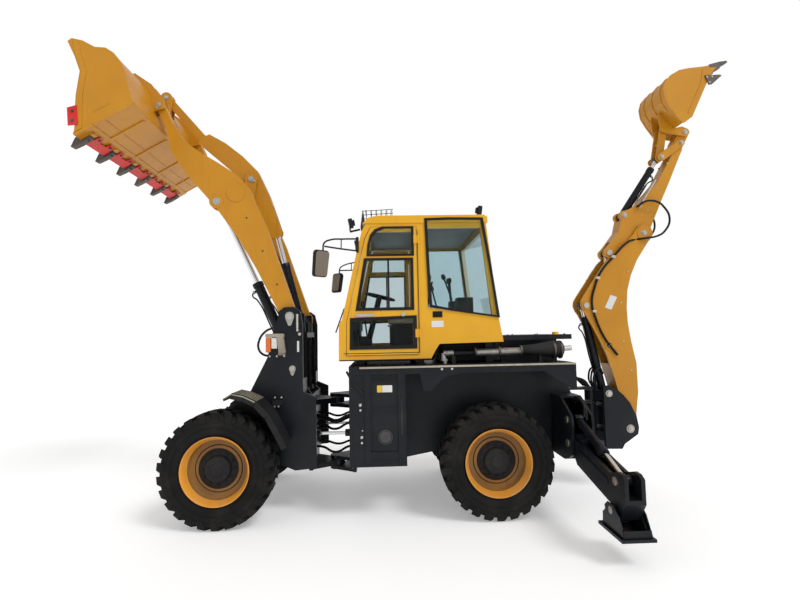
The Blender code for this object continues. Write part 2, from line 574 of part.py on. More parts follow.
def cab():
    """Hollow cab: frame with its posts, roof, floor, two doors and the glass."""
    wall = CAB_WALL
    shell = plate_y(CAB_SIDE, -CAB_HALF, CAB_HALF)
    cuts = [plate_y(inset_side(wall), -CAB_HALF + wall, CAB_HALF - wall)]
    cuts += both_sides([plate_y(grown(DOOR_EDGE, 0.006), CAB_HALF - 0.2, CAB_HALF + 0.1),
                        plate_y(REAR_PANE, CAB_HALF - 0.2, CAB_HALF + 0.1)])
    cuts += [block((-0.3, 0.6), (-0.690, 0.690), (1.780, 2.980)),
             block((-1.9, -1.2), (-0.660, 0.660), (2.120, 3.040))]
    piece("cab_frame", "yellow", [shell], cuts)
    roof = [(-0.070, 3.128 + GAP), (-0.130, 3.190), (-0.230, 3.212), (-1.400, 3.212),
            (-1.440, 3.190), (-1.445, 3.128 + GAP)]
    piece("cab_roof", "yellow", [plate_y(roof, -CAB_HALF - 0.010, CAB_HALF + 0.010)])
    floor = [block((-0.800, 0.150), (-0.750, 0.750), (1.645, 1.690)),
             block((-1.500, -0.780), (-0.750, 0.750), (1.830, 1.870)),
             block((-0.820, -0.775), (-0.750, 0.750), (1.645, 1.870)),
             block((-0.790, -0.360), (-0.240, 0.240), (1.680, 2.010)),
             block((-1.330, -1.150), (-0.420, -0.200), (1.860, 2.330)),
             block((-1.330, -1.150), (0.200, 0.420), (1.860, 2.330))]
    piece("cab_floor", "trim", floor)
    for side, sign in (("left", 1), ("right", -1)):
        low, high = CAB_HALF - 0.030, CAB_HALF + 0.012
        spans = sorted((sign * low, sign * high))
        panel = plate_y(DOOR_EDGE, *spans)
        holes = [plate_y(pane, -2.0, 2.0) for pane in PANES]
        pocket = sorted((sign * (low - 0.01), sign * (low + 0.010)))
        holes.append(plate_y(grown(DOOR_EDGE, -0.035), *pocket))
        hinge = Vector((DOOR_HINGE[0], sign * DOOR_HINGE[1], 0.0))
        barrels = [boss_z((hinge.x, hinge.y), 0.012, z, z + 0.09, 12) for z in (1.88, 2.90)]
        arms = [block((hinge.x, hinge.x + 0.05), sorted((sign * 0.805, sign * 0.825)),
                      (z, z + 0.09)) for z in (1.88, 2.90)]
        piece(f"{side}_door", "yellow", [panel] + barrels + arms, holes, hinge)
        sheet = sorted((sign * (low + 0.002), sign * (low + 0.010 - GAP)))
        piece(f"{side}_door_glass", "glass", [plate_y(grown(DOOR_EDGE, -0.040), *sheet)],
              (), hinge)
    glass()


def edge_x(line, z):
    """The x at height z on a line of (x, z) points listed upwards."""
    for (x0, z0), (x1, z1) in zip(line, line[1:]):
        if z0 <= z <= z1:
            return x0 + (x1 - x0) * (z - z0) / (z1 - z0)
    return line[-1][0]


def glass():
    """Windscreen, rear window and both rear side windows, joined by their seals."""
    inner = CAB_HALF - CAB_WALL - GAP
    thick = 0.006
    front = CAB_SIDE[0:6]
    rear = CAB_SIDE[6:9][::-1]
    ahead = [(edge_x(front, z) - CAB_WALL - GAP, z) for z in (1.720, 2.040, 2.080, 2.850, 3.000)]
    behind = [(edge_x(rear, z) + CAB_WALL + GAP, z) for z in (2.075, 3.060)]
    windscreen = ahead + [(x - thick, z) for x, z in ahead[::-1]]
    back = behind + [(x + thick, z) for x, z in behind[::-1]]
    side = grown(REAR_PANE, 0.018)
    bar = [(-1.478, 2.095), (-1.478, 2.125), (0.106, 2.125), (0.112, 2.095)]
    shapes = [plate_y(windscreen, -inner, inner), plate_y(back, -inner, inner)]
    shapes += both_sides([plate_y(side, inner - thick, inner),
                          plate_y(bar, inner - thick, inner)])
    piece("cab_glass", "glass", shapes)


def cab_inside():
    """Driver's seat, and the steering column with its wheel."""
    seat = [(-0.340, 2.013), (-0.330, 2.120), (-0.420, 2.150), (-0.680, 2.130), (-0.800, 2.640),
            (-0.860, 2.650), (-0.900, 2.600), (-0.800, 2.013)]
    piece("seat", "seat", [plate_y(seat, -0.235, 0.235)])
    top = Vector((-0.240, 0.0, 2.385))
    foot = Vector((-0.060, 0.0, 1.690 + GAP))
    axis = (top - foot).normalized()
    rim = turned([(0.176, 0.0), (0.190, -0.013), (0.204, 0.0), (0.190, 0.013)], top, axis, 28)
    across = axis.cross(Vector((0, 1, 0))).normalized()
    spokes = [rod(top - across * 0.185, top + across * 0.185, 0.011, 8),
              rod(top - Vector((0, 0.185, 0)), top + Vector((0, 0.185, 0)), 0.011, 8)]
    column = [rod(foot + axis * 0.02, top + axis * 0.012, 0.035, 12),
              block((-0.140, 0.060), (-0.070, 0.070), (1.690 + GAP, 1.900))]
    piece("steering_column", "trim", column + spokes + [rim])


# ---- backhoe ----
def swing_post():
    """Two side plates, a web and two lugs on the upright swing axis."""
    side = [(-2.935, 1.235), (-3.001, 1.247), (-3.085, 1.210), (-3.180, 1.125), (-3.254, 1.032),
            (-3.327, 0.873), (-3.350, 0.735), (-3.336, 0.656), (-3.167, 0.544), (-3.134, 0.486),
            (-2.942, 0.491), (-2.935, 0.600)]
    shapes = both_sides([plate_y(side, 0.145, 0.170)])
    shapes.append(block((-2.941, -2.925), (-0.150, 0.150), (0.500, 1.040)))
    shapes.append(block((-3.120, -2.950), (-0.150, 0.150), (0.492, 0.515)))
    for low, high in ((1.060, 1.180), (0.595, 0.690)):
        lug = [(-2.938, 0.150), (SWING_X, 0.070)]
        lug += circle((SWING_X, 0.0), 0.070, 9, pi / 2, -pi)
        lug += [(SWING_X, -0.070), (-2.938, -0.150)]
        shapes.append(plate_z(lug, low, high))
    shapes.append(boss_z((SWING_X, 0.0), 0.060, 0.735, 1.015))
    shapes.append(block((-2.935, SWING_X), (-0.040, 0.040), (0.760, 0.990)))
    piece("swing_post", "black", shapes, (), (SWING_X, 0.0, BOOM_FOOT[1]))


def boom():
    """Banana boom, open along its front so that two cylinders fit inside."""
    half, sheet = 0.135, 0.028
    back = [(-3.345, 0.900), (-3.380, 1.155), (-3.378, 1.507), (-3.325, 1.776), (-3.295, 2.000),
            (-3.291, 2.188), (-3.310, 2.405), (-3.364, 2.591), (-3.452, 2.782), (-3.600, 3.000)]
    front = [(-3.420, 3.100), (-3.389, 3.067), (-3.051, 2.763), (-2.760, 2.345), (-2.724, 2.285),
             (-2.716, 2.225), (-2.738, 2.165), (-2.775, 2.110), (-2.927, 1.797), (-3.002, 1.637),
             (-3.072, 1.410), (-3.134, 1.173)]
    outline = back + circle(DIPPER_PIVOT, 0.110, 7, radians(215), radians(-190)) + front
    outline += circle(BOOM_FOOT, 0.100, 7, radians(15), radians(-205))
    side = plate_y(outline, -half, half)
    hollow = [(x + 0.050, z) for x, z in back[2:9]]
    hollow += [(-3.440, 2.900), (-3.780, 2.980), (-3.800, 3.350), (-3.300, 3.350),
               (-2.500, 2.500), (-2.500, 2.000), (-2.700, 1.850), (-2.960, 1.560), (-3.200, 1.400)]
    cuts = [plate_y(hollow, -half + sheet, half - sheet)]
    # the foot is narrower, to stand between the swing post's plates
    cuts += both_sides([block((-3.600, -2.900), (0.125, 0.200), (0.50, 0.60))])
    piece("boom", "yellow", [side], cuts, (BOOM_FOOT[0], 0.0, BOOM_FOOT[1]))


def dipper():
    """Straight dipper arm with a horn for its own cylinder and a lug for the bucket's."""
    outline = [(-3.655, 3.165), (-3.826, 3.539), (-3.945, 3.787), (-4.101, 4.130),
               (-4.240, 4.390)]
    outline += circle(DIG_PIVOT, 0.058, 6, radians(200), radians(-170))
    outline += [(-4.050, 4.310), (-4.010, 4.150), (-3.800, 3.790), (-3.560, 3.520),
                (-3.400, 3.430)]
    outline += circle(DIG_CYL_BASE, 0.060, 5, radians(100), radians(-150))
    outline += [(-3.260, 3.150), (-3.110, 2.960)]
    outline += circle(DIPPER_CYL_EYE, 0.070, 6, radians(60), radians(-170))
    outline += [(-3.260, 2.850), (-3.480, 3.020)]
    outline += circle(DIPPER_PIVOT, 0.095, 6, radians(-50), radians(-110))
    body = plate_y(outline, -0.100, 0.100)
    horn = [(-3.400, 2.700), (-3.400, 2.950), (-3.330, 3.040), (-3.220, 3.045), (-3.000, 2.980),
            (-3.000, 2.700)]
    slots = [plate_y(horn, -0.045, 0.045),
             boss_y(ROCKER_PIVOT, 0.025, -0.110, 0.110, 14),
             plate_y(bar_outline(DIG_CYL_BASE, (-3.500, 3.750), 0.075, 0.130), -0.045, 0.045)]
    narrow = both_sides([plate_y([(-4.400, 4.200), (-3.700, 4.200), (-3.700, 4.700),
                                  (-4.400, 4.700)], 0.070, 0.150)])
    piece("dipper", "yellow", [body], slots + narrow, (DIPPER_PIVOT[0], 0.0, DIPPER_PIVOT[1]))


def dig_bucket():
    """Curved digging bucket with side plates, teeth and two pairs of ears."""
    half, sheet = 0.300, 0.016
    outside = [(-4.520, 5.215), (-4.329, 5.180), (-4.150, 5.160), (-4.032, 5.135),
               (-3.918, 5.070), (-3.845, 4.985), (-3.815, 4.880), (-3.832, 4.770),
               (-3.900, 4.650), (-4.000, 4.505), (-4.045, 4.470)]
    inside = [(-4.060, 4.486), (-4.017, 4.519), (-3.917, 4.664), (-3.852, 4.778),
              (-3.834, 4.880), (-3.862, 4.975), (-3.930, 5.053), (-4.038, 5.115),
              (-4.152, 5.140), (-4.331, 5.160), (-4.522, 5.196)]
    cheek = outside + [(-4.070, 4.475), (-4.166, 4.545), (-4.350, 4.930), (-4.450, 5.110),
                       (-4.520, 5.190)]
    shapes = [plate_y(outside + inside, -half + 0.008, half - 0.008)]
    shapes += both_sides([plate_y(grown(cheek, 0.004), half - 0.018, half)])
    ear = [(-3.990, 4.530), (-3.960, 4.580), (-3.870, 4.700), (-3.850, 4.660), (-3.870, 4.480)]
    ear += circle(DIG_LINK_PIN, 0.055, 4, radians(0), radians(-80))
    ear += circle(DIG_PIVOT, 0.055, 7, radians(-70), radians(-160))
    ear += [(-4.150, 4.500), (-4.060, 4.480)]
    shapes += both_sides([plate_y(ear, 0.080, 0.102)])
    for step in range(5):
        y = (step - 2) * 0.135
        tooth = [(-4.440, 5.205), (-4.440, 5.180), (-4.540, 5.185), (-4.659, 5.246),
                 (-4.640, 5.262), (-4.540, 5.240)]
        shapes.append(plate_y(tooth, y - 0.028, y + 0.028))
    piece("backhoe_bucket", "yellow", shapes, (), (DIG_PIVOT[0], 0.0, DIG_PIVOT[1]))


def dig_linkage():
    """The two rocker levers, joined at their tips, and the link to the bucket."""
    lever = plate_y(bar_outline(ROCKER_PIVOT, ROCKER_TIP, 0.042, 0.050), 0.106, 0.124)
    tip = both_sides([boss_y(ROCKER_TIP, 0.030, 0.072, 0.110)])
    pin = [boss_y(ROCKER_PIVOT, 0.020, -0.115, 0.115, 12)]
    piece("rocker", "black", both_sides([lever]) + tip + pin, (),
          (ROCKER_PIVOT[0], 0.0, ROCKER_PIVOT[1]))
    sides = both_sides([plate_y(bar_outline(ROCKER_TIP, DIG_LINK_PIN, 0.045, 0.045),
                                0.048, 0.068)])
    middle = along(ROCKER_TIP, DIG_LINK_PIN, 0.20)
    tie = [boss_y(middle, 0.026, -0.060, 0.060, 12)]
    piece("bucket_link", "black", sides + tie, (), (ROCKER_TIP[0], 0.0, ROCKER_TIP[1]))


def backhoe_cylinders():
    """Boom, dipper and bucket cylinders, all on the machine's middle plane."""
    cylinder("boom", BOOM_CYL_BASE, BOOM_CYL_EYE, 0.050, 0.028, 0.960, 0.960, 0.045,
             side_point(0.0))
    cylinder("dipper", DIPPER_CYL_BASE, DIPPER_CYL_EYE, 0.046, 0.025, 1.020, 1.000, 0.040,
             side_point(0.0))
    cylinder("bucket", DIG_CYL_BASE, ROCKER_TIP, 0.040, 0.022, 0.760, 0.760, 0.035,
             side_point(0.0))


# ---- stabilisers ----
def stabilisers():
    """Two legs that swing down sideways, each with its foot pad and cylinder."""
    middle = (LEG_X[0] + LEG_X[1]) / 2
    for side, sign in (("left", 1), ("right", -1)):
        outline = [(1.049, 0.815), (1.200, 0.805), (1.434, 0.772), (1.840, 0.690)]
        outline += [(1.925, 0.715), (1.990, 0.735), (2.060, 0.730), (2.110, 0.700)]
        outline += [(2.110, 0.500), (1.990, 0.340)]
        outline += circle(FOOT_PIN, 0.055, 6, radians(-30), radians(-120))
        outline += [(1.840, 0.435), (1.125, 0.572), (1.060, 0.640)]
        outline += circle(LEG_PIVOT, 0.085, 7, radians(-60), radians(-210))
        leg = plate_x([(sign * y, z) for y, z in outline], *LEG_X)
        slot = [(1.115, 0.740), (1.115, 0.950), (2.250, 0.950), (2.250, 0.535), (1.840, 0.535)]
        groove = plate_x([(sign * y, z) for y, z in slot], middle - 0.053, middle + 0.053)
        pivot = (middle, sign * LEG_PIVOT[0], LEG_PIVOT[1])
        piece(f"{side}_stabiliser", "black", [leg], [groove], pivot)
        plate = block((-2.430, -2.145), sorted((sign * 1.700, sign * 2.140)), (0.215, 0.240))
        rise = [(1.760, 0.235), (1.790, 0.330), (1.880, 0.450), (1.935, 0.450), (2.060, 0.300),
                (2.080, 0.235)]
        cheeks = [plate_x([(sign * y, z) for y, z in rise], x, x + 0.016)
                  for x in (LEG_X[0] - 0.024, LEG_X[1] + 0.008)]
        pin = (middle, sign * FOOT_PIN[0], FOOT_PIN[1])
        piece(f"{side}_pad", "black", [plate] + cheeks, (), pin)
        cylinder(f"{side}_leg", LEG_CYL_BASE, LEG_CYL_EYE, 0.042, 0.024, 0.640, 0.600, 0.040,
                 lambda flat, offset, s=sign: Vector((middle + offset, s * flat[0], flat[1])))


def build():
    """Removes what the scene holds and makes the machine."""
    for thing in list(bpy.data.objects):
        bpy.data.objects.remove(thing)
    wheels()
    axle("front_axle", AXLE_X, -1)
    axle("rear_axle", -AXLE_X, 1)
    front_frame()
    lift_arms()
    bell_crank()
    loader_bucket()
    loader_cylinders()
    steering_cylinders()
    rear_frame()
    engine_and_exhaust()
    cab()
    cab_inside()
    swing_post()
    boom()
    dipper()
    dig_bucket()
    dig_linkage()
    backhoe_cylinders()
    stabilisers()


build()
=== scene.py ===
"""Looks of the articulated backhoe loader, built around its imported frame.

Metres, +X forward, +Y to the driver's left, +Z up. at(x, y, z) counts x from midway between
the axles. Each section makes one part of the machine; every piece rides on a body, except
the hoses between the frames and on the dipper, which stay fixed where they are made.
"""
import json
from math import cos, pi, radians, sin

import bmesh
import bpy
from mathutils import Matrix, Vector


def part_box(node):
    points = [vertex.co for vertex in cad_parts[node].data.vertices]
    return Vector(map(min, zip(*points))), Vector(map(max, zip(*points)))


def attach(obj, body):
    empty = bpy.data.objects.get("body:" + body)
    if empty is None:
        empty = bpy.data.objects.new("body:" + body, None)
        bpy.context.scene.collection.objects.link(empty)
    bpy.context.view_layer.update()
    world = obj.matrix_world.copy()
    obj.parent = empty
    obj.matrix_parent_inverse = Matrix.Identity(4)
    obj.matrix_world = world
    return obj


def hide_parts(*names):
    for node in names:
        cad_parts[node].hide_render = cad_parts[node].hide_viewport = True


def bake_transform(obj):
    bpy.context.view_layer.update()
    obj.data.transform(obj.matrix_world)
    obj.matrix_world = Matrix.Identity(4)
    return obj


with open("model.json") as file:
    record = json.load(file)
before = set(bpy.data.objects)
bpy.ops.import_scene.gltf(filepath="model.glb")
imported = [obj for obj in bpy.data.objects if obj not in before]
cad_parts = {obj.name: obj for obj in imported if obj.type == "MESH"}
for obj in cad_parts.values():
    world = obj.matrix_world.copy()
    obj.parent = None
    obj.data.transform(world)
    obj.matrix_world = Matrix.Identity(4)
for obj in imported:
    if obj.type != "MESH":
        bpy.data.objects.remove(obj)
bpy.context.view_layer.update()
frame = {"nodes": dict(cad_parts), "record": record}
NODES = frame["nodes"]
JOINTS = {joint["name"]: joint for joint in frame["record"]["behaviour"]["joints"]}
SIDES = (("left", 1), ("right", -1))
DOOR_FACE = 0.8125      # outer faces' distances from the middle of the machine
BOX_FACE = 0.9402
TOWER_FACE = 0.640
ARM_FACE = 0.578
BOOM_FACE = 0.135


def pin(name):
    """The place of a hinge at rest."""
    return Vector(JOINTS[name]["pos_m"])


MID_X = (pin("front_left_wheel_spin").x + pin("rear_left_wheel_spin").x) / 2
TYRE_R = pin("front_left_wheel_spin").z
TYRE_HALF = (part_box("front_left_tyre")[1][1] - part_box("front_left_tyre")[0][1]) / 2


def at(x, y, z):
    """A point counted from midway between the axles, on the ground."""
    return Vector((MID_X + x, y, z))


# ---- shader groups ----
def new_group(name, inputs, outputs):
    """An empty shader group with named sockets, and its input and output nodes."""
    group = bpy.data.node_groups.new(name, "ShaderNodeTree")
    for label, kind, value in inputs:
        socket = group.interface.new_socket(name=label, in_out="INPUT", socket_type=kind)
        socket.default_value = value
    for label, kind in outputs:
        group.interface.new_socket(name=label, in_out="OUTPUT", socket_type=kind)
    return group, group.nodes.new("NodeGroupInput"), group.nodes.new("NodeGroupOutput")


def noise(tree, vector, scale, detail=4.0, stretch=(1.0, 1.0, 1.0)):
    """A noise texture on object coordinates, stretched along the axes."""
    mapping = tree.nodes.new("ShaderNodeMapping")
    mapping.inputs["Scale"].default_value = stretch
    texture = tree.nodes.new("ShaderNodeTexNoise")
    texture.inputs["Scale"].default_value = scale
    texture.inputs["Detail"].default_value = detail
    tree.links.new(vector, mapping.inputs["Vector"])
    tree.links.new(mapping.outputs["Vector"], texture.inputs["Vector"])
    return texture.outputs["Fac"]


def ranged(tree, value, low, high, to_low=0.0, to_high=1.0):
    """Maps a value from low..high to another range, clamped."""
    node = tree.nodes.new("ShaderNodeMapRange")
    for label, number in (("From Min", low), ("From Max", high), ("To Min", to_low),
                          ("To Max", to_high)):
        node.inputs[label].default_value = number
    tree.links.new(value, node.inputs["Value"])
    return node.outputs["Result"]


def math(tree, operation, a, b):
    """A math node on two sockets or numbers."""
    node = tree.nodes.new("ShaderNodeMath")
    node.operation = operation
    for socket, value in zip(node.inputs, (a, b)):
        if isinstance(value, (int, float)):
            socket.default_value = value
        else:
            tree.links.new(value, socket)
    return node.outputs["Value"]


def blended(tree, mask, a, b):
    """Colour a where the mask is 0, b where it is 1."""
    node = tree.nodes.new("ShaderNodeMix")
    node.data_type = "RGBA"
    tree.links.new(mask, node.inputs["Factor"])
    tree.links.new(a, node.inputs[6])
    tree.links.new(b, node.inputs[7])
    return node.outputs[2]


def weathered_group():
    """Paint or metal with patches of tone, vertical streaks, dust and fine grain."""
    group, given, out = new_group(
        "weathered_surface",
        (("Colour", "NodeSocketColor", (0.5, 0.5, 0.5, 1.0)),
         ("Tone", "NodeSocketColor", (0.4, 0.4, 0.4, 1.0)),
         ("Tone Amount", "NodeSocketFloat", 0.5),
         ("Dust Colour", "NodeSocketColor", (0.35, 0.30, 0.24, 1.0)),
         ("Dust Amount", "NodeSocketFloat", 0.2),
         ("Roughness", "NodeSocketFloat", 0.4),
         ("Grain", "NodeSocketFloat", 1.0)),
        (("Colour", "NodeSocketColor"), ("Roughness", "NodeSocketFloat"),
         ("Height", "NodeSocketFloat")))
    place = group.nodes.new("ShaderNodeTexCoord").outputs["Object"]
    patches = ranged(group, noise(group, place, 2.3, 5.0), 0.35, 0.70)
    streaks = ranged(group, noise(group, place, 5.0, 3.0, (3.0, 3.0, 0.35)), 0.50, 0.75)
    fine = noise(group, place, 60.0, 6.0)
    grain = noise(group, place, 420.0, 2.0)
    tone = math(group, "MULTIPLY", math(group, "MAXIMUM", patches, streaks),
                given.outputs["Tone Amount"])
    dust = math(group, "MULTIPLY", ranged(group, noise(group, place, 4.1, 8.0), 0.46, 0.66),
                ranged(group, fine, 0.35, 0.65, 0.4, 1.0))
    dust = math(group, "MULTIPLY", dust, given.outputs["Dust Amount"])
    colour = blended(group, tone, given.outputs["Colour"], given.outputs["Tone"])
    colour = blended(group, dust, colour, given.outputs["Dust Colour"])
    rough = math(group, "ADD", given.outputs["Roughness"], math(group, "MULTIPLY", dust, 0.5))
    rough = math(group, "ADD", rough, ranged(group, fine, 0.3, 0.7, -0.05, 0.07))
    height = math(group, "ADD", math(group, "MULTIPLY", grain, given.outputs["Grain"]), fine)
    group.links.new(colour, out.inputs["Colour"])
    group.links.new(rough, out.inputs["Roughness"])
    group.links.new(height, out.inputs["Height"])
    return group


WEATHERED = weathered_group()


def finish(name, colour, tone, roughness, metallic=0.0, tone_amount=0.5, dust=0.1, grain=1.0,
           bump=0.1, coat=0.0, dust_colour=(0.36, 0.31, 0.25), gloss=0.5):
    """A material: the weathered group's colour, roughness and bump in a Principled BSDF."""
    made = bpy.data.materials.new(name)
    made.use_nodes = True
    tree = made.node_tree
    shader = tree.nodes["Principled BSDF"]
    worn = tree.nodes.new("ShaderNodeGroup")
    worn.node_tree = WEATHERED
    worn.inputs["Colour"].default_value = (*colour, 1.0)
    worn.inputs["Tone"].default_value = (*tone, 1.0)
    worn.inputs["Tone Amount"].default_value = tone_amount
    worn.inputs["Dust Colour"].default_value = (*dust_colour, 1.0)
    worn.inputs["Dust Amount"].default_value = dust
    worn.inputs["Roughness"].default_value = roughness
    worn.inputs["Grain"].default_value = grain
    dent = tree.nodes.new("ShaderNodeBump")
    dent.inputs["Strength"].default_value = bump
    dent.inputs["Distance"].default_value = 0.002
    tree.links.new(worn.outputs["Colour"], shader.inputs["Base Color"])
    tree.links.new(worn.outputs["Roughness"], shader.inputs["Roughness"])
    tree.links.new(worn.outputs["Height"], dent.inputs["Height"])
    tree.links.new(dent.outputs["Normal"], shader.inputs["Normal"])
    shader.inputs["Metallic"].default_value = metallic
    shader.inputs["Specular IOR Level"].default_value = gloss
    shader.inputs["Coat Weight"].default_value = coat
    shader.inputs["Coat Roughness"].default_value = 0.12
    return made


def clear_glass(name, colour, weight):
    """Pale clear glass with faint smears in its roughness."""
    made = finish(name, colour, tuple(c * 0.9 for c in colour), 0.02, 0.0, 0.3, 0.02, 0.0, 0.01)
    shader = made.node_tree.nodes["Principled BSDF"]
    shader.inputs["Transmission Weight"].default_value = weight
    shader.inputs["IOR"].default_value = 1.2
    return made


YELLOW = finish("yellow_enamel", (0.78, 0.40, 0.012), (0.64, 0.30, 0.010), 0.34, 0.0, 0.45,
                0.05, 0.6, 0.08, 0.25, (0.30, 0.22, 0.10), 0.30)
# Painted shade: a darker copy of the yellow enamel, standing in for the shade on the arms, links,
# buckets, boom, dipper and rocker.
SHADED_ARM_YELLOW = finish("arm_enamel_painted_shade", (0.56, 0.245, 0.010), (0.44, 0.18, 0.008), 0.36, 0.0, 0.50,
                    0.06, 0.6, 0.08, 0.20, (0.26, 0.18, 0.08), 0.30)
# Painted shade and dust: the barrel's dark brown stands in for the shade inside the wheel as well
# as dust on the rim's yellow paint.
SHADED_DUSTY_BARREL = finish("rim_barrel_shade_and_dust", (0.33, 0.15, 0.025), (0.18, 0.085, 0.02), 0.60, 0.0, 0.7, 0.35,
                1.0, 0.2, 0.0, (0.22, 0.16, 0.10))
RIM_YELLOW = finish("rim_enamel", (0.78, 0.33, 0.03), (0.50, 0.20, 0.03), 0.42, 0.0, 0.6, 0.30,
                    1.0, 0.15, 0.2)
BLACK = finish("black_enamel", (0.005, 0.007, 0.010), (0.012, 0.013, 0.016), 0.34, 0.0, 0.6,
               0.08, 0.8, 0.10, 0.0, (0.09, 0.085, 0.08), 0.22)
SATIN = finish("black_satin", (0.012, 0.012, 0.013), (0.006, 0.006, 0.007), 0.60, 0.0, 0.5,
               0.15, 1.2, 0.25, 0.0, (0.10, 0.09, 0.08), 0.25)
RUBBER = finish("tread_rubber", (0.006, 0.006, 0.006), (0.012, 0.0115, 0.011), 0.82, 0.0, 0.6,
                0.40, 1.6, 0.45, 0.0, (0.050, 0.045, 0.040), 0.20)
SEAL = finish("seal_rubber", (0.005, 0.005, 0.006), (0.012, 0.012, 0.012), 0.60, 0.0, 0.4, 0.1,
              1.0, 0.1, 0.0, (0.06, 0.055, 0.05), 0.25)
CHROME = finish("rod_chrome", (0.80, 0.81, 0.83), (0.66, 0.68, 0.70), 0.09, 1.0, 0.4, 0.02,
                0.2, 0.02)
ZINC = finish("plated_zinc", (0.62, 0.61, 0.58), (0.42, 0.40, 0.36), 0.34, 1.0, 0.6, 0.15)
STEEL = finish("worn_steel", (0.085, 0.075, 0.070), (0.16, 0.13, 0.11), 0.50, 0.7, 0.7, 0.3,
               1.5, 0.4)
RED = finish("edge_red", (0.66, 0.012, 0.012), (0.50, 0.012, 0.012), 0.45, 0.0, 0.6, 0.12)
CREAM = finish("bare_edge", (0.46, 0.41, 0.32), (0.26, 0.23, 0.18), 0.55, 0.0, 0.8, 0.4)
GREY = finish("mould_grey", (0.20, 0.17, 0.13), (0.10, 0.085, 0.065), 0.55, 0.0, 0.7, 0.3)
BEIGE = finish("worn_beige", (0.40, 0.35, 0.27), (0.16, 0.14, 0.11), 0.50, 0.0, 0.7, 0.3)
CLOTH = finish("seat_cloth", (0.42, 0.34, 0.24), (0.30, 0.24, 0.17), 0.90, 0.0, 0.6, 0.1, 3.0,
               0.6)
BLANK = finish("blank_plate", (0.72, 0.72, 0.70), (0.60, 0.60, 0.57), 0.45, 0.0, 0.4, 0.1)
TAG = finish("blank_tag", (0.80, 0.52, 0.03), (0.66, 0.40, 0.03), 0.45, 0.0, 0.4, 0.1)
AMBER = finish("amber_lens", (0.75, 0.16, 0.02), (0.55, 0.10, 0.02), 0.18, 0.0, 0.4, 0.05)
WORN = finish("rubbed_black", (0.045, 0.045, 0.048), (0.020, 0.020, 0.022), 0.35, 0.2, 0.7, 0.15)
KEEPER = finish("keeper_plate", (0.46, 0.45, 0.40), (0.30, 0.28, 0.23), 0.40, 0.6, 0.6, 0.15)
FOIL = finish("pipe_silver", (0.55, 0.54, 0.52), (0.24, 0.22, 0.20), 0.38, 0.9, 0.8, 0.25, 1.5,
              0.5)
GLASS = clear_glass("window_glass", (0.86, 0.95, 0.97), 1.0)
LENS = clear_glass("lamp_lens", (0.90, 0.93, 0.95), 0.8)
MIRROR = finish("mirror_silver", (0.20, 0.165, 0.13), (0.14, 0.115, 0.09), 0.06, 1.0, 0.4, 0.02,
                0.0, 0.0)


# ---- mesh tools ----
def emit(name, bm, material, body, bevel=0.0, segments=2, sharp=35.0):
    """Turns a bmesh into a piece that rides on a body, with small rounded edges."""
    bmesh.ops.recalc_face_normals(bm, faces=bm.faces)
    mesh = bpy.data.meshes.new(name)
    bm.to_mesh(mesh)
    bm.free()
    made = bpy.data.objects.new(name, mesh)
    bpy.context.scene.collection.objects.link(made)
    mesh.materials.append(material)
    mesh.shade_smooth()
    mesh.set_sharp_from_angle(angle=radians(sharp))
    if bevel:
        soften(made, bevel, segments, sharp)
    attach(made, body)
    return made


def soften(obj, width, segments=2, angle=35.0):
    """Rounds an object's edges a little, so that they catch the light."""
    rounding = obj.modifiers.new("edge_rounding", "BEVEL")
    rounding.width = width
    rounding.segments = segments
    rounding.limit_method = "ANGLE"
    rounding.angle_limit = radians(angle)
    rounding.use_clamp_overlap = True
    rounding.harden_normals = True


def facing(axis):
    """The rotation that turns +Z to an axis."""
    return Vector((0, 0, 1)).rotation_difference(Vector(axis).normalized()).to_matrix()


def add_block(bm, centre, size, turn=None):
    """Adds a box, turned by a 3 by 3 matrix if given."""
    place = Matrix.Translation(centre)
    if turn is not None:
        place = place @ turn.to_4x4()
    made = bmesh.ops.create_cube(bm, size=1.0)
    bmesh.ops.transform(bm, matrix=place @ Matrix.Diagonal((*size, 1.0)), verts=made["verts"])


def add_turned(bm, profile, centre, axis, sides=48):
    """Adds a (radius, length) profile turned about an axis; ends at radius 0 are closed."""
    turn = facing(axis)
    centre = Vector(centre)
    rings = []
    for radius, length in profile:
        if radius <= 1e-6:
            rings.append([bm.verts.new(centre + turn @ Vector((0, 0, length)))])
        else:
            rings.append([bm.verts.new(centre + turn @ Vector(
                (radius * cos(2 * pi * i / sides), radius * sin(2 * pi * i / sides), length)))
                for i in range(sides)])
    for here, after in zip(rings, rings[1:]):
        for i in range(sides):
            j = (i + 1) % sides
            corners = [here[i % len(here)], here[j % len(here)], after[j % len(after)],
                       after[i % len(after)]]
            unique = list(dict.fromkeys(corners))
            if len(unique) > 2:
                bm.faces.new(unique)


def add_disc(bm, centre, axis, radius, height, sides=24, edge=0.15):
    """Adds a round disc with a small chamfer, standing on centre."""
    cut = min(radius, height) * edge
    add_turned(bm, [(0, 0), (radius, 0), (radius, height - cut), (radius - cut, height),
                    (0, height)], centre, axis, sides)


def add_bolt(bm, centre, axis, size):
    """Adds a washer, a hex head and the screw's end."""
    add_disc(bm, centre, axis, size * 1.05, size * 0.18, 16)
    add_disc(bm, Vector(centre) + Vector(axis).normalized() * size * 0.16, axis, size * 0.85,
             size * 0.55, 6, 0.12)
    add_disc(bm, Vector(centre) + Vector(axis).normalized() * size * 0.65, axis, size * 0.42,
             size * 0.25, 10)


def add_sheet(bm, outline, low, high, place):
    """Adds a flat outline pushed from low to high; place turns (u, v, w) into a point."""
    bottom = [bm.verts.new(place(u, v, low)) for u, v in outline]
    top = [bm.verts.new(place(u, v, high)) for u, v in outline]
    bm.faces.new(bottom)
    bm.faces.new(top[::-1])
    for i in range(len(outline)):
        j = (i + 1) % len(outline)
        bm.faces.new((bottom[i], bottom[j], top[j], top[i]))


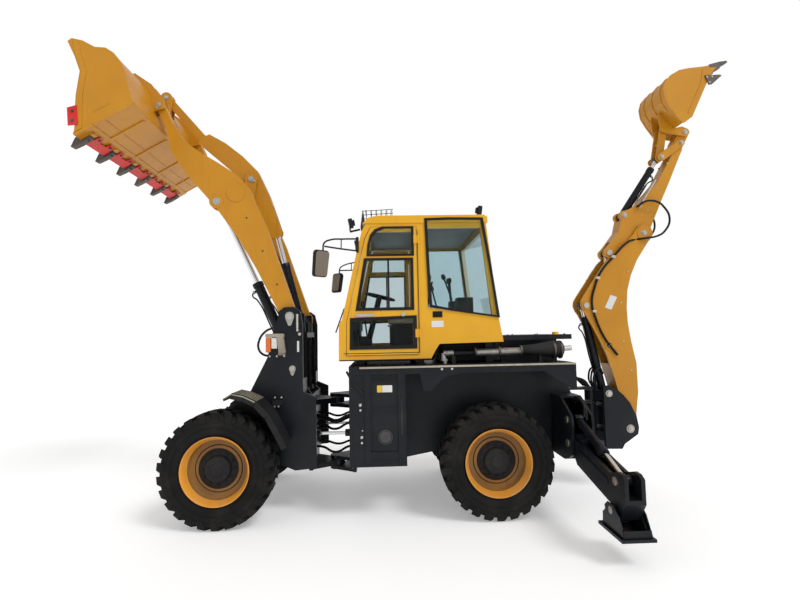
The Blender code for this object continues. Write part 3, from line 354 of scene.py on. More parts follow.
def side_sheet(bm, outline, low, high):
    """Adds an (x, z) outline, x counted from between the axles, pushed across the machine."""
    add_sheet(bm, outline, low, high, lambda u, v, w: at(u, w, v))


def side_panel(bm, x0, x1, z0, z1, low, high):
    """Adds a rectangle of plate on the machine's side."""
    side_sheet(bm, [(x0, z0), (x1, z0), (x1, z1), (x0, z1)], low, high)


def bolt_row(bm, spots, y, size):
    """Adds a bolt at each (x, z) spot, facing out from the side at y."""
    for x, z in spots:
        add_bolt(bm, at(x, y, z), (0, 1 if y > 0 else -1, 0), size)


def sloped(start, end):
    """The step from one (x, z) point to another, and the turn that lays +X along it."""
    step = Vector((end[0] - start[0], 0, end[1] - start[1]))
    along = step.normalized()
    return step, Matrix((along, (0, 1, 0), along.cross(Vector((0, 1, 0))))).transposed()


def tube(name, points, radius, material, body, resolution=4):
    """A smooth round tube or hose through points."""
    curve = bpy.data.curves.new(name, "CURVE")
    curve.dimensions = "3D"
    curve.bevel_depth = radius
    curve.bevel_resolution = resolution
    curve.use_fill_caps = True
    curve.resolution_u = 10
    spline = curve.splines.new("BEZIER")
    spline.bezier_points.add(len(points) - 1)
    for knot, point in zip(spline.bezier_points, points):
        knot.co = point
        knot.handle_left_type = knot.handle_right_type = "AUTO"
    made = bpy.data.objects.new(name, curve)
    bpy.context.scene.collection.objects.link(made)
    curve.materials.append(material)
    if body:
        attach(made, body)
    return made


# ---- wheels ----
def tread_lugs(bm, centre, side):
    """Adds the slanted blocks that cross each half of the tread and bend over the shoulder."""
    count = 26
    run = ((0.012, 0.000, 1.000), (0.090, 0.045, 1.000), (0.160, 0.115, 0.992),
           (TYRE_HALF - 0.004, 0.135, 0.925), (TYRE_HALF - 0.002, 0.140, 0.860))
    for half, shift in ((1, 0.0), (-1, 0.5)):
        for i in range(count):
            start = 2 * pi * (i + shift) / count
            sections = []
            for across, lag, height in run:
                width = 0.066 if height > 0.98 else 0.056
                corners = []
                for depth, spread in ((0.885, 1.12), (height, 1.0)):
                    if height < 0.98:
                        depth = min(depth, height - 0.03)
                    for edge in (-1, 1):
                        angle = start + lag + edge * width * spread
                        r = TYRE_R * depth
                        y = half * side * across
                        corners.append(bm.verts.new(centre + Vector(
                            (r * cos(angle), y, r * sin(angle)))))
                sections.append(corners)
            for a, b in zip(sections, sections[1:]):
                for p, q in ((0, 1), (1, 3), (3, 2), (2, 0)):
                    bm.faces.new((a[p], a[q], b[q], b[p]))
            for end in (sections[0], sections[-1]):
                bm.faces.new((end[0], end[1], end[3], end[2]))


def wheels():
    """A blocky tyre, a dished rim and a studded hub at each corner."""
    bead = 0.333
    wall = TYRE_HALF
    tyre = [(bead, -wall * 0.74), (bead + 0.012, -wall * 0.80), (0.380, -wall * 0.90),
            (0.400, -wall * 0.935), (0.412, -wall * 0.93), (0.450, -wall * 0.985),
            (0.462, -wall), (0.474, -wall * 0.985), (0.510, -wall * 0.96), (0.538, -wall * 0.88),
            (0.548, -wall * 0.60), (0.550, 0.0)]
    tyre += [(r, -y) for r, y in tyre[-2::-1]]
    low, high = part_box("front_left_rim")
    face = high[1] - pin("front_left_wheel_spin").y
    rim_r = (high[0] - low[0]) / 2
    flange = [(0.300, 0.098), (0.312, 0.096), (rim_r - 0.008, face - 0.004),
              (rim_r, face - 0.008), (rim_r, face), (rim_r - 0.007, face),
              (rim_r - 0.018, face - 0.014), (0.306, 0.110), (0.300, 0.098)]
    rim = [(0.205, 0.030), (0.262, 0.012), (0.284, -0.020), (0.288, -0.110), (0.300, -0.118),
           (0.300, -0.150), (0.312, -0.154), (0.312, 0.094), (0.300, 0.096), (0.296, 0.050),
           (0.288, 0.030), (0.262, 0.026), (0.205, 0.044), (0.205, 0.030)]
    hub = [(0.0, 0.118), (0.060, 0.118), (0.070, 0.108), (0.122, 0.100), (0.132, 0.090),
           (0.138, 0.056), (0.185, 0.050), (0.196, 0.042), (0.240, 0.034), (0.252, 0.026),
           (0.252, 0.014), (0.0, 0.010)]
    for end in ("front", "rear"):
        for name, sign in SIDES:
            body = f"{end}_{name}_wheel"
            centre = pin(f"{end}_{name}_wheel_spin")
            out = (0, sign, 0)
            bm = bmesh.new()
            add_turned(bm, tyre, centre, out, 104)
            tread_lugs(bm, centre, sign)
            for r in (0.435, 0.500):
                add_turned(bm, [(r - 0.004, wall * 0.94), (r - 0.002, wall * 0.985),
                                (r + 0.002, wall * 0.985), (r + 0.004, wall * 0.94)],
                           centre, out, 104)
            cover = emit(f"{body}_tyre", bm, RUBBER, body, 0.003, 1, 30)
            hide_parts(f"{end}_{name}_tyre")
            bm = bmesh.new()
            add_turned(bm, rim, centre, out, 96)
            add_disc(bm, centre + Vector((0.290 * cos(0.9), sign * 0.060, 0.290 * sin(0.9))), out,
                     0.006, 0.050, 10)
            # The barrel's darker brown is painted shade as well as dust.
            cover = emit(f"{body}_rim_barrel_shade_and_dust", bm, SHADED_DUSTY_BARREL, body)
            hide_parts(f"{end}_{name}_rim")
            bm = bmesh.new()
            add_turned(bm, flange, centre, out, 96)
            emit(f"{body}_rim_flange", bm, RIM_YELLOW, body)
            bm = bmesh.new()
            add_turned(bm, hub, centre, out, 64)
            for i in range(12):
                a = 2 * pi * i / 12
                add_bolt(bm, centre + Vector((0.162 * cos(a), sign * 0.052, 0.162 * sin(a))),
                         out, 0.017)
            for i in range(8):
                a = 2 * pi * (i + 0.5) / 8
                add_bolt(bm, centre + Vector((0.098 * cos(a), sign * 0.102, 0.098 * sin(a))),
                         out, 0.009)
            emit(f"{body}_hub", bm, SATIN, body)


# ---- hydraulic cylinders ----
def cylinder(name, pivot_joint, slide_joint, radius, rod_r, length, half, port_up):
    """A detailed barrel and rod in place of the plain ones."""
    base = pin(pivot_joint)
    along = Vector(JOINTS[slide_joint]["axis"]).normalized()
    cross = Vector(JOINTS[pivot_joint]["axis"]).normalized()
    low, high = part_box(f"{name}_rod")
    corners = [Vector((x, y, z)) for x in (low[0], high[0]) for y in (low[1], high[1])
               for z in (low[2], high[2])]
    eye_r = rod_r * 1.9
    middle = (Vector(low) + Vector(high)) / 2
    far = max((corner - base).dot(along) for corner in corners)
    tip = base + along * (far - eye_r * reach(along))
    tip += cross * (middle - tip).dot(cross)
    bm = bmesh.new()
    profile = [(0, radius * 0.7), (radius * 0.8, radius * 0.7), (radius, radius * 0.95),
               (radius, length * 0.93 - 0.03), (radius * 1.03, length * 0.93 - 0.028),
               (radius * 1.03, length * 0.93), (radius, length * 0.93 + 0.002),
               (radius, length - 0.052), (radius * 1.13, length - 0.050),
               (radius * 1.13, length - 0.012), (radius * 1.09, length - 0.008),
               (radius * 1.09, length - 0.001), (rod_r * 1.5, length),
               (rod_r * 1.1, length - 0.006), (rod_r * 1.1, length - 0.04),
               (0, length - 0.04)]
    add_turned(bm, profile, base, along, 48)
    add_disc(bm, base - cross * half, cross, radius * 1.05, half * 2, 40, 0.1)
    side = along.cross(cross) * port_up
    for reach_out in (radius * 1.6, length - 0.085):
        add_disc(bm, base + along * reach_out + side * radius * 0.9, side, 0.014, radius * 0.40, 8)
    barrel = emit(f"{name}_barrel_body", bm, BLACK, f"{name}_barrel")
    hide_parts(f"{name}_barrel")
    bm = bmesh.new()
    for reach_out in (radius * 1.6, length - 0.085):
        add_disc(bm, base + along * reach_out + side * radius * 1.28, side, 0.018, 0.020, 6)
    emit(f"{name}_port_nuts", bm, ZINC, f"{name}_barrel")
    run = [base + along * (length - 0.085) + side * (radius * 1.28 + 0.020),
           base + along * (length - 0.120) + side * (radius * 1.28 + 0.040),
           base + along * (length - 0.180) + side * (radius * 1.28 + 0.012),
           base + along * (length * 0.5) + side * (radius + 0.012),
           base + along * (radius * 2.6) + side * (radius + 0.014),
           base + along * (radius * 1.6) + side * (radius * 1.28 + 0.020)]
    tube(f"{name}_pipe", run, 0.0085, BLACK, f"{name}_barrel")
    rod_start = max(0.0, (tip - base).dot(along) - (far - (Vector(middle) - base).dot(along)) * 2)
    bm = bmesh.new()
    length_out = (tip - base).dot(along)
    add_turned(bm, [(0, rod_start + eye_r), (rod_r, rod_start + eye_r),
                    (rod_r, length_out - eye_r * 1.15), (rod_r * 1.25, length_out - eye_r * 1.1),
                    (rod_r * 1.25, length_out - eye_r * 0.5), (0, length_out - eye_r * 0.5)],
               base, along, 40)
    shaft = emit(f"{name}_rod_shaft", bm, CHROME, f"{name}_rod")
    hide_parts(f"{name}_rod")
    bm = bmesh.new()
    add_disc(bm, tip - cross * half, cross, eye_r, half * 2, 36, 0.1)
    add_disc(bm, tip - cross * (half + 0.0005), cross, eye_r * 0.5, half * 2 + 0.001, 24, 0.05)
    emit(f"{name}_rod_eye", bm, BLACK, f"{name}_rod")


def reach(along):
    """How far a round eye's box reaches along a slanted rod, as a share of its radius."""
    return sum(abs(v) for v in along if abs(v) > 1e-6)


def hydraulics():
    """Every cylinder of the loader, the steering, the backhoe and the stabilisers."""
    for side, _ in SIDES:
        cylinder(f"{side}_lift", f"{side}_lift_barrel_pivot", f"{side}_lift_rod_slide",
                 0.055, 0.030, 1.070, 0.045, 1)
        cylinder(f"{side}_steering", f"{side}_steering_barrel_pivot",
                 f"{side}_steering_rod_slide", 0.036, 0.018, 0.600, 0.028, 1)
        cylinder(f"{side}_leg", f"{side}_leg_barrel_pivot", f"{side}_leg_rod_slide",
                 0.042, 0.024, 0.640, 0.040, 1)
    cylinder("tilt", "tilt_barrel_pivot", "tilt_rod_slide", 0.055, 0.030, 0.700, 0.029, -1)
    cylinder("boom", "boom_barrel_pivot", "boom_rod_slide", 0.050, 0.028, 0.960, 0.045, -1)
    cylinder("dipper", "dipper_barrel_pivot", "dipper_rod_slide", 0.046, 0.025, 1.020, 0.040, -1)
    cylinder("bucket", "bucket_barrel_pivot", "bucket_rod_slide", 0.040, 0.022, 0.760, 0.035, 1)


# ---- plain CAD pieces that keep their shape ----
def carried():
    """Gives each kept node its finish and slightly rounded edges."""
    finishes = {
        YELLOW: ("cab_frame", "cab_roof", "left_door", "right_door"),
        # The second, darker yellow for the arms, links, buckets, boom, dipper and rocker is
        # painted shade.
        SHADED_ARM_YELLOW: ("lift_arms", "bell_crank", "tilt_link", "loader_bucket", "boom", "dipper",
                     "backhoe_bucket", "rocker", "bucket_link"),
        BLACK: ("rear_frame", "front_frame", "swing_post", "left_stabiliser",
                "right_stabiliser", "left_pad", "right_pad", "engine_hood"),
        SATIN: ("front_axle", "rear_axle", "engine", "cab_floor", "steering_column"),
        GLASS: ("cab_glass", "left_door_glass", "right_door_glass"),
    }
    for material, names in finishes.items():
        for name in names:
            node = NODES[name]
            node.data.materials.clear()
            node.data.materials.append(material)
            if material is not GLASS:
                soften(node, 0.004, 2, 40)


# ---- pins ----
def teardrop(radius, tail, lean=0.0, sides=14):
    """A flat keeper's outline: a round head with a tail that runs down to a small round end."""
    small = radius * 0.42
    outline = []
    for i in range(sides + 1):
        angle = radians(-20) + radians(220) * i / sides
        outline.append((radius * cos(angle), radius * sin(angle)))
    for i in range(7):
        angle = radians(200) + radians(140) * i / 6
        outline.append((small * cos(angle), small * sin(angle) - tail))
    return [(u * cos(lean) - v * sin(lean), u * sin(lean) + v * cos(lean)) for u, v in outline]


def pin_caps():
    """A pale keeper plate, the pin's end and a bolt on both ends of each cross pin."""
    places = (
        ("loader_lift", "front_frame", 0.640, 0.050, 0.085, 0.0),
        ("loader_tip", "loader_bucket", 0.614, 0.030, 0.045, 0.6),
        ("bell_crank_pivot", "lift_arms", 0.100, 0.036, 0.055, -1.0),
        ("left_lift_barrel_pivot", "front_frame", 0.640, 0.036, 0.060, 0.0),
        ("tilt_link_pivot", "loader_bucket", 0.058, 0.030, 0.045, 0.8),
        ("boom_lift", "swing_post", 0.170, 0.040, 0.000, 0.0),
        ("boom_barrel_pivot", "swing_post", 0.170, 0.034, 0.000, 0.0),
        ("dipper_crowd", "boom", 0.135, 0.034, 0.040, 2.0),
        ("dipper_barrel_pivot", "boom", 0.135, 0.026, 0.000, 0.0),
        ("backhoe_bucket_curl", "backhoe_bucket", 0.102, 0.026, 0.000, 0.0),
        ("bucket_link_pivot", "rocker", 0.124, 0.024, 0.000, 0.0),
        ("rocker_pivot", "rocker", 0.124, 0.024, 0.000, 0.0),
        ("bucket_barrel_pivot", "dipper", 0.100, 0.028, 0.000, 0.0))
    for joint, body, out, radius, tail, lean in places:
        spot = pin(joint)
        heads = bmesh.new()
        plates = bmesh.new()
        for sign in (1, -1):
            axis = Vector((0, sign, 0))
            face = Vector((spot.x, sign * out, spot.z))
            if tail:
                add_sheet(plates, teardrop(radius, tail, lean), 0.0, 0.008,
                          lambda u, v, w, c=face, a=axis: c + Vector((u, 0, v)) + a * w)
                add_bolt(heads, face + axis * 0.008 + Vector((sin(lean) * tail, 0,
                                                              -cos(lean) * tail)), axis, 0.010)
            else:
                add_disc(plates, face, axis, radius * 1.25, 0.006, 32)
            add_disc(heads, face + axis * 0.006, axis, radius * 0.72, 0.010, 32)
            add_disc(heads, face + axis * 0.016, axis, radius * 0.25, 0.008, 10)
        emit(f"{joint}_keepers", plates, KEEPER, body, 0.001)
        emit(f"{joint}_pin_ends", heads, ZINC, body)
    for name, sign in SIDES:
        bm = bmesh.new()
        out = Vector((0, sign, 0))
        add_disc(bm, at(1.575, sign * 0.580, 3.452), out, 0.042, 0.012, 40)
        add_disc(bm, at(1.575, sign * 0.592, 3.452), out, 0.014, 0.008, 12)
        emit(f"{name}_lift_eye_cap", bm, ZINC, "lift_arms")


# ---- buckets ----
def loader_bucket_details():
    """Dark tooth tips, red bolted edge plates, side cutters, ribs and weld seams."""
    lip = Vector((2.783, 0, 3.974))
    run = Vector((0.867, 0, -0.498))
    out = Vector((-0.498, 0, -0.867))

    def edge_point(a, y, b):
        spot = lip + run * a + out * b
        return at(spot.x, y, spot.z)

    teeth = bmesh.new()
    plates = bmesh.new()
    bolts = bmesh.new()
    pitch = 0.431
    tooth = ((-0.115, 0.023), (-0.095, 0.052), (0.020, 0.056), (0.106, 0.049), (0.116, 0.036),
             (0.050, -0.014), (0.030, -0.026), (0.004, -0.026), (-0.060, -0.024),
             (-0.060, -0.004), (0.000, -0.004), (0.000, 0.023))
    for i in range(6):
        y = (i - 2.5) * pitch
        add_sheet(teeth, tooth, y - 0.036, y + 0.036, lambda u, v, w: edge_point(u, w, v))
        add_bolt(bolts, edge_point(-0.060, y, 0.050), out, 0.016)
        if i < 5:
            mid = y + pitch / 2
            half = pitch / 2 - 0.045
            outline = [(-half, 0.004), (half, 0.004), (half, -0.070), (half - 0.03, -0.095)]
            for lug in (0.10, -0.10):
                outline += [(lug + 0.045, -0.095), (lug + 0.030, -0.150), (lug - 0.030, -0.150),
                            (lug - 0.045, -0.095)]
            outline += [(-half + 0.03, -0.095), (-half, -0.070)]
            add_sheet(plates, outline, 0.0225, 0.034,
                      lambda u, v, w, m=mid: edge_point(v, m + u, w))
            for lug in (0.10, -0.10):
                add_bolt(bolts, edge_point(-0.120, mid + lug, 0.034), out, 0.015)
    emit("loader_teeth", teeth, STEEL, "loader_bucket", 0.004)
    emit("loader_edge_plates", plates, RED, "loader_bucket", 0.002)
    for name, sign in SIDES:
        cutter = bmesh.new()
        side_sheet(cutter, [(2.745, 4.075), (2.840, 4.065), (2.852, 4.250), (2.762, 4.275)],
                   sign * 1.195, sign * 1.209)
        emit(f"loader_side_cutter_{name}", cutter, RED,
             "loader_bucket", 0.002)
        for z in (4.115, 4.215):
            add_bolt(bolts, at(2.798, sign * 1.209, z), (0, sign, 0), 0.016)
        strip = bmesh.new()
        side_sheet(strip, [(2.785, 4.000), (2.772, 4.250), (2.770, 4.394), (2.736, 4.634),
                           (2.790, 4.791), (2.824, 4.965), (2.770, 4.950), (2.735, 4.800),
                           (2.680, 4.640), (2.712, 4.394), (2.714, 4.250), (2.710, 4.045)],
                   sign * 1.190, sign * 1.196)
        side_sheet(strip, [(2.440, 4.300), (2.600, 4.205), (2.606, 4.217), (2.446, 4.312)],
                   sign * 1.190, sign * 1.194)
        # In the darker arm yellow, which is painted shade.
        emit(f"loader_cheek_strip_{name}", strip, SHADED_ARM_YELLOW,
             "loader_bucket", 0.002)
    emit("loader_bucket_bolts", bolts, STEEL, "loader_bucket")
    ribs = bmesh.new()
    floor_turn = Matrix((run, (0, 1, 0), -out)).transposed()
    rib_back, rib_front = -0.60, -0.16
    for y in (-0.84, -0.30, 0.30, 0.84):
        add_block(ribs, edge_point((rib_back + rib_front) / 2, y, 0.006),
                  (rib_front - rib_back, 0.040, 0.012), floor_turn)
    for a in (-0.330, -0.155):
        add_block(ribs, edge_point(a, 0.0, 0.002), (0.010, 2.340, 0.008), floor_turn)
    # Ribs in the darker arm yellow, which is painted shade.
    emit("loader_bucket_ribs", ribs, SHADED_ARM_YELLOW, "loader_bucket", 0.002)


def dig_bucket_details():
    """Dark teeth and side cutters on the digging bucket, and its wear strips."""
    teeth = bmesh.new()
    outline = [(-4.420, 5.214), (-4.420, 5.172), (-4.540, 5.178), (-4.658, 5.243),
               (-4.640, 5.262), (-4.540, 5.246)]
    for step in range(5):
        y = (step - 2) * 0.135
        side_sheet(teeth, outline, y - 0.032, y + 0.032)
    emit("dig_teeth", teeth, STEEL, "backhoe_bucket", 0.003)
    for name, sign in SIDES:
        bm = bmesh.new()
        side_sheet(bm, [(-4.345, 5.065), (-4.390, 4.945), (-4.430, 4.950), (-4.560, 5.060),
                        (-4.540, 5.075), (-4.440, 5.070)], sign * 0.300, sign * 0.314)
        emit(f"{name}_dig_side_cutter", bm, STEEL, "backhoe_bucket", 0.002)
        bm = bmesh.new()
        bolt_row(bm, ((-4.370, 5.040), (-4.435, 5.045), (-4.400, 4.975)),
                 sign * 0.314, 0.012)
        emit(f"{name}_dig_side_bolts", bm, ZINC, "backhoe_bucket")
        bm = bmesh.new()
        side_sheet(bm, [(-4.330, 5.150), (-4.345, 5.150), (-4.310, 4.960), (-4.120, 4.580),
                        (-4.105, 4.590), (-4.292, 4.965)], sign * 0.300, sign * 0.305)
        # In the darker arm yellow, which is painted shade.
        emit(f"{name}_dig_cheek_strip", bm, SHADED_ARM_YELLOW, "backhoe_bucket", 0.001)
    strips = bmesh.new()
    shell = [(-3.918, 5.074), (-3.843, 4.985), (-3.812, 4.880), (-3.829, 4.768), (-3.898, 4.648)]
    for y in (-0.19, 0.0, 0.19):
        for (x0, z0), (x1, z1) in zip(shell, shell[1:]):
            step, turn = sloped((x0, z0), (x1, z1))
            add_block(strips, at((x0 + x1) / 2, y, (z0 + z1) / 2), (step.length, 0.050, 0.012),
                      turn)
    # Strips in the darker arm yellow, which is painted shade.
    emit("dig_bucket_strips", strips, SHADED_ARM_YELLOW, "backhoe_bucket", 0.002)


# ---- cab ----
def pane(name, outline, out, border, sign, body):
    """A glass sheet over a window, with the black band printed round its edge."""
    count = len(outline)
    cx = sum(p[0] for p in outline) / count
    cz = sum(p[1] for p in outline) / count
    inner = []
    for x, z in outline:
        away = Vector((cx - x, cz - z))
        inner.append((x + border * 1.2 * (1 if away.x > 0 else -1),
                      z + border * (1 if away.y > 0 else -1)))
    band = bmesh.new()
    for i in range(count):
        j = (i + 1) % count
        side_sheet(band, [outline[i], outline[j], inner[j], inner[i]], sign * out,
                   sign * (out + 0.007))
    emit(f"{name}_band", band, SEAL, body)
    sheet = bmesh.new()
    side_sheet(sheet, [(x + (cx - x) * 0.02, z + (cz - z) * 0.02) for x, z in outline],
               sign * (out + 0.001), sign * (out + 0.005))
    emit(f"{name}_glass", sheet, GLASS, body)


def cab_windows():
    """The large side panes, the doors' three panes with their seals, and the handles."""
    for name, sign in SIDES:
        pane(f"{name}_rear_side_pane",
             [(-0.744, 3.178), (-1.000, 3.184), (-1.391, 3.178), (-1.470, 2.640), (-1.545, 2.075),
              (-1.200, 2.130), (-0.780, 2.200), (-0.760, 2.640)], 0.8105, 0.026, sign,
             "rear_frame")
        door = f"{name}_door"
        pane(f"{name}_door_top_pane",
             [(-0.625, 3.090), (-0.625, 2.765), (-0.108, 2.765), (-0.122, 2.900), (-0.150, 3.000),
              (-0.200, 3.060), (-0.280, 3.090)], DOOR_FACE, 0.024, sign, door)
        seals = bmesh.new()
        for outline, inside in (
                ([(-0.615, 2.175), (0.018, 2.175), (-0.082, 2.745), (-0.615, 2.745)],
                 [(-0.585, 2.208), (-0.022, 2.208), (-0.112, 2.715), (-0.585, 2.715)]),
                ([(-0.640, 1.760), (0.085, 1.760), (0.078, 2.100), (-0.640, 2.118)],
                 [(-0.600, 1.798), (0.050, 1.798), (0.045, 2.066), (-0.600, 2.084)])):
            for i in range(4):
                j = (i + 1) % 4
                side_sheet(seals, [outline[i], outline[j], inside[j], inside[i]], sign * DOOR_FACE,
                           sign * 0.8195)
        side_panel(seals, -0.352, -0.332, 2.195, 2.732, sign * 0.800, sign * 0.817)
        emit(f"{name}_door_seals", seals, SEAL, door, 0.001)
        seam = bmesh.new()
        side_panel(seam, -0.668, 0.150, 1.716, 1.723, sign * 0.8122, sign * 0.8135)
        side_panel(seam, -0.668, -0.661, 1.716, 3.050, sign * 0.8122, sign * 0.8135)
        emit(f"{name}_door_seam", seam, SEAL, door)
        handle = bmesh.new()
        add_block(handle, at(-0.085, sign * 0.828, 2.128), (0.190, 0.012, 0.032))
        add_block(handle, at(0.000, sign * 0.820, 2.128), (0.024, 0.020, 0.030))
        add_block(handle, at(-0.170, sign * 0.820, 2.128), (0.024, 0.020, 0.030))
        add_disc(handle, at(-0.494, sign * 0.812, 2.130), (0, sign, 0), 0.022, 0.012, 24)
        emit(f"{name}_door_handle", handle, ZINC, door, 0.004)
        vent = bmesh.new()
        side_panel(vent, -0.919, -0.814, 2.091, 2.156, sign * 0.8005, sign * 0.806)
        for k in range(4):
            add_block(vent, at(-0.866, sign * 0.808, 2.101 + k * 0.015), (0.094, 0.006, 0.005))
        emit(f"{name}_vent", vent, SEAL, "rear_frame", 0.001)
        plate = bmesh.new()
        side_panel(plate, -0.930, -0.798, 1.984, 2.054, sign * 0.8005, sign * 0.8035)
        emit(f"{name}_blank_plate", plate, BLANK, "rear_frame", 0.001)
        skirt = bmesh.new()
        side_panel(skirt, 0.196, -0.790, 1.640, 1.652, sign * 0.796, sign * 0.8035)
        emit(f"{name}_cab_foot_seal", skirt, SEAL, "rear_frame")
        corner = bmesh.new()
        side_sheet(corner, [(-0.780, 1.642), (-0.822, 1.642), (-0.834, 1.775), (-0.856, 1.802),
                            (-0.900, 1.812), (-0.874, 1.800)], sign * 0.752, sign * 0.7995)
        emit(f"{name}_cab_corner", corner, YELLOW, "rear_frame", 0.002)


def mirrors():
    """Mirror heads on double-tube arms at the cab's front corners."""
    for name, sign in SIDES:
        tube(f"{name}_mirror_arm_top",
             [at(-0.010, sign * 0.800, 2.960), at(0.130, sign * 0.880, 2.945),
              at(0.270, sign * 0.965, 2.920), at(0.325, sign * 0.990, 2.885),
              at(0.338, sign * 1.000, 2.800)], 0.009, SATIN, "rear_frame")
        tube(f"{name}_mirror_arm_low",
             [at(0.000, sign * 0.800, 2.830), at(0.150, sign * 0.880, 2.838),
              at(0.322, sign * 0.985, 2.850)], 0.009, SATIN, "rear_frame")
        tube(f"{name}_mirror_arm_brace",
             [at(0.155, sign * 0.890, 2.942), at(0.158, sign * 0.888, 2.838)], 0.006, SATIN,
             "rear_frame")
        bracket = bmesh.new()
        add_block(bracket, at(-0.012, sign * 0.800, 2.895), (0.030, 0.030, 0.170))
        emit(f"{name}_mirror_bracket", bracket, SATIN, "rear_frame", 0.005)
        outline = [(-0.072, -0.140), (0.072, -0.140), (0.085, -0.115), (0.092, 0.115),
                   (0.072, 0.142), (-0.072, 0.142), (-0.092, 0.115), (-0.085, -0.115)]
        turn = Matrix.Rotation(-sign * radians(48), 3, "Z") @ Matrix.Rotation(radians(-9), 3, "Y")
        middle = at(0.352, sign * 1.000, 2.665)
        bm = bmesh.new()
        add_sheet(bm, outline, -0.004, 0.050,
                  lambda u, v, w: middle + turn @ Vector((w, u, v)))
        emit(f"{name}_mirror_shell", bm, SATIN, "rear_frame", 0.016, 4)
        bm = bmesh.new()
        add_sheet(bm, [(u * 0.90, v * 0.92) for u, v in outline], -0.008, -0.003,
                  lambda u, v, w: middle + turn @ Vector((w, u, v)))
        emit(f"{name}_mirror_face", bm, MIRROR, "rear_frame", 0.001)
        bm = bmesh.new()
        add_sheet(bm, [(u * 0.80, v * 0.86) for u, v in outline], 0.049, 0.054,
                  lambda u, v, w: middle + turn @ Vector((w, u, v)))
        emit(f"{name}_mirror_back", bm, GREY, "rear_frame", 0.002)


def roof_gear():
    """Work lamps at the roof's corners and the wire guard at its front."""
    for name, sign in SIDES:
        roof_lamp(f"{name}_front_roof_lamp", at(0.075, sign * 0.640, 3.165), (1, 0.0, -0.2))
        arm = bmesh.new()
        add_block(arm, at(0.020, sign * 0.640, 3.085), (0.120, 0.030, 0.018),
                  Matrix.Rotation(radians(12), 3, "Y"))
        emit(f"{name}_roof_lamp_arm", arm, SATIN, "rear_frame", 0.003)
        roof_lamp(f"{name}_rear_roof_lamp", at(-1.400, sign * 0.640, 3.295), (-1, 0, -0.15))
    bars = bmesh.new()
    for k in range(13):
        y = -0.60 + 0.10 * k
        add_block(bars, at(-0.055, y, 3.225), (0.006, 0.006, 0.200),
                  Matrix.Rotation(radians(-8), 3, "Y"))
    for k in range(5):
        add_block(bars, at(-0.043 - 0.007 * k, 0.0, 3.135 + 0.045 * k), (0.006, 1.200, 0.006))
    for sign in (1, -1):
        for k in range(4):
            add_block(bars, at(-0.235, sign * 0.600, 3.190 + 0.045 * k), (0.350, 0.006, 0.006),
                      Matrix.Rotation(radians(3), 3, "Y"))
        for k in range(6):
            add_block(bars, at(-0.110 - 0.058 * k, sign * 0.600, 3.262), (0.006, 0.006, 0.130))
    for k in range(6):
        add_block(bars, at(-0.100 - 0.058 * k, 0.0, 3.322), (0.006, 1.200, 0.006))
    emit("roof_front_guard", bars, SATIN, "rear_frame")
    wiper = bmesh.new()
    add_block(wiper, at(0.205, 0.560, 2.085), (0.014, 0.014, 0.290),
              Matrix.Rotation(radians(-20), 3, "Y"))
    add_block(wiper, at(0.120, 0.300, 2.400), (0.018, 0.010, 0.460),
              Matrix.Rotation(radians(-12.5), 3, "Y"))
    emit("wiper", wiper, SATIN, "rear_frame", 0.002)


def cab_inside():
    """Levers, consoles, instrument box and the roof's lining."""
    bm = bmesh.new()
    for x, y, lean in ((-1.100, 0.300, 0.35), (-0.930, 0.300, 0.25), (-1.170, -0.300, 0.10),
                       (-1.170, -0.240, 0.06), (-0.100, -0.220, 0.12)):
        base = 2.330 if x < -0.5 else 1.690
        top = 0.260 if x < -0.5 else 0.620
        stem = Vector((lean, 0, 1)).normalized()
        foot = at(x, y, base - 0.16 if x > -1.0 and x < -0.5 else base - 0.02)
        add_turned(bm, [(0, 0), (0.010, 0), (0.010, top), (0, top)], foot, stem, 12)
        add_turned(bm, [(0, 0), (0.020, 0.008), (0.028, 0.035), (0.020, 0.070), (0, 0.078)],
                   foot + stem * (top - 0.01), stem, 16)
    emit("control_levers", bm, SATIN, "rear_frame")
    bm = bmesh.new()
    add_block(bm, at(0.060, 0.0, 2.020), (0.140, 0.90, 0.120))
    add_block(bm, at(0.040, 0.0, 1.880), (0.080, 0.60, 0.240))
    emit("instrument_box", bm, SATIN, "rear_frame", 0.020, 3)
    lining = bmesh.new()
    add_block(lining, at(-0.760, 0.0, 3.112), (1.20, 1.46, 0.020))
    emit("roof_lining", lining, GREY, "rear_frame", 0.006)


def roof_lamp(name, place, aim):
    """A square work lamp on a short bracket."""
    turn = facing(aim)
    bm = bmesh.new()
    add_block(bm, place + turn @ Vector((0, 0, -0.010)), (0.100, 0.085, 0.045), turn)
    add_block(bm, place + turn @ Vector((0, 0, -0.040)), (0.060, 0.050, 0.030), turn)
    add_block(bm, place + Vector((0, 0, -0.050)), (0.016, 0.050, 0.060))
    emit(name, bm, SATIN, "rear_frame", 0.006)
    bm = bmesh.new()
    add_block(bm, place + turn @ Vector((0, 0, 0.0145)), (0.084, 0.070, 0.006), turn)
    emit(f"{name}_lens", bm, LENS, "rear_frame", 0.002)


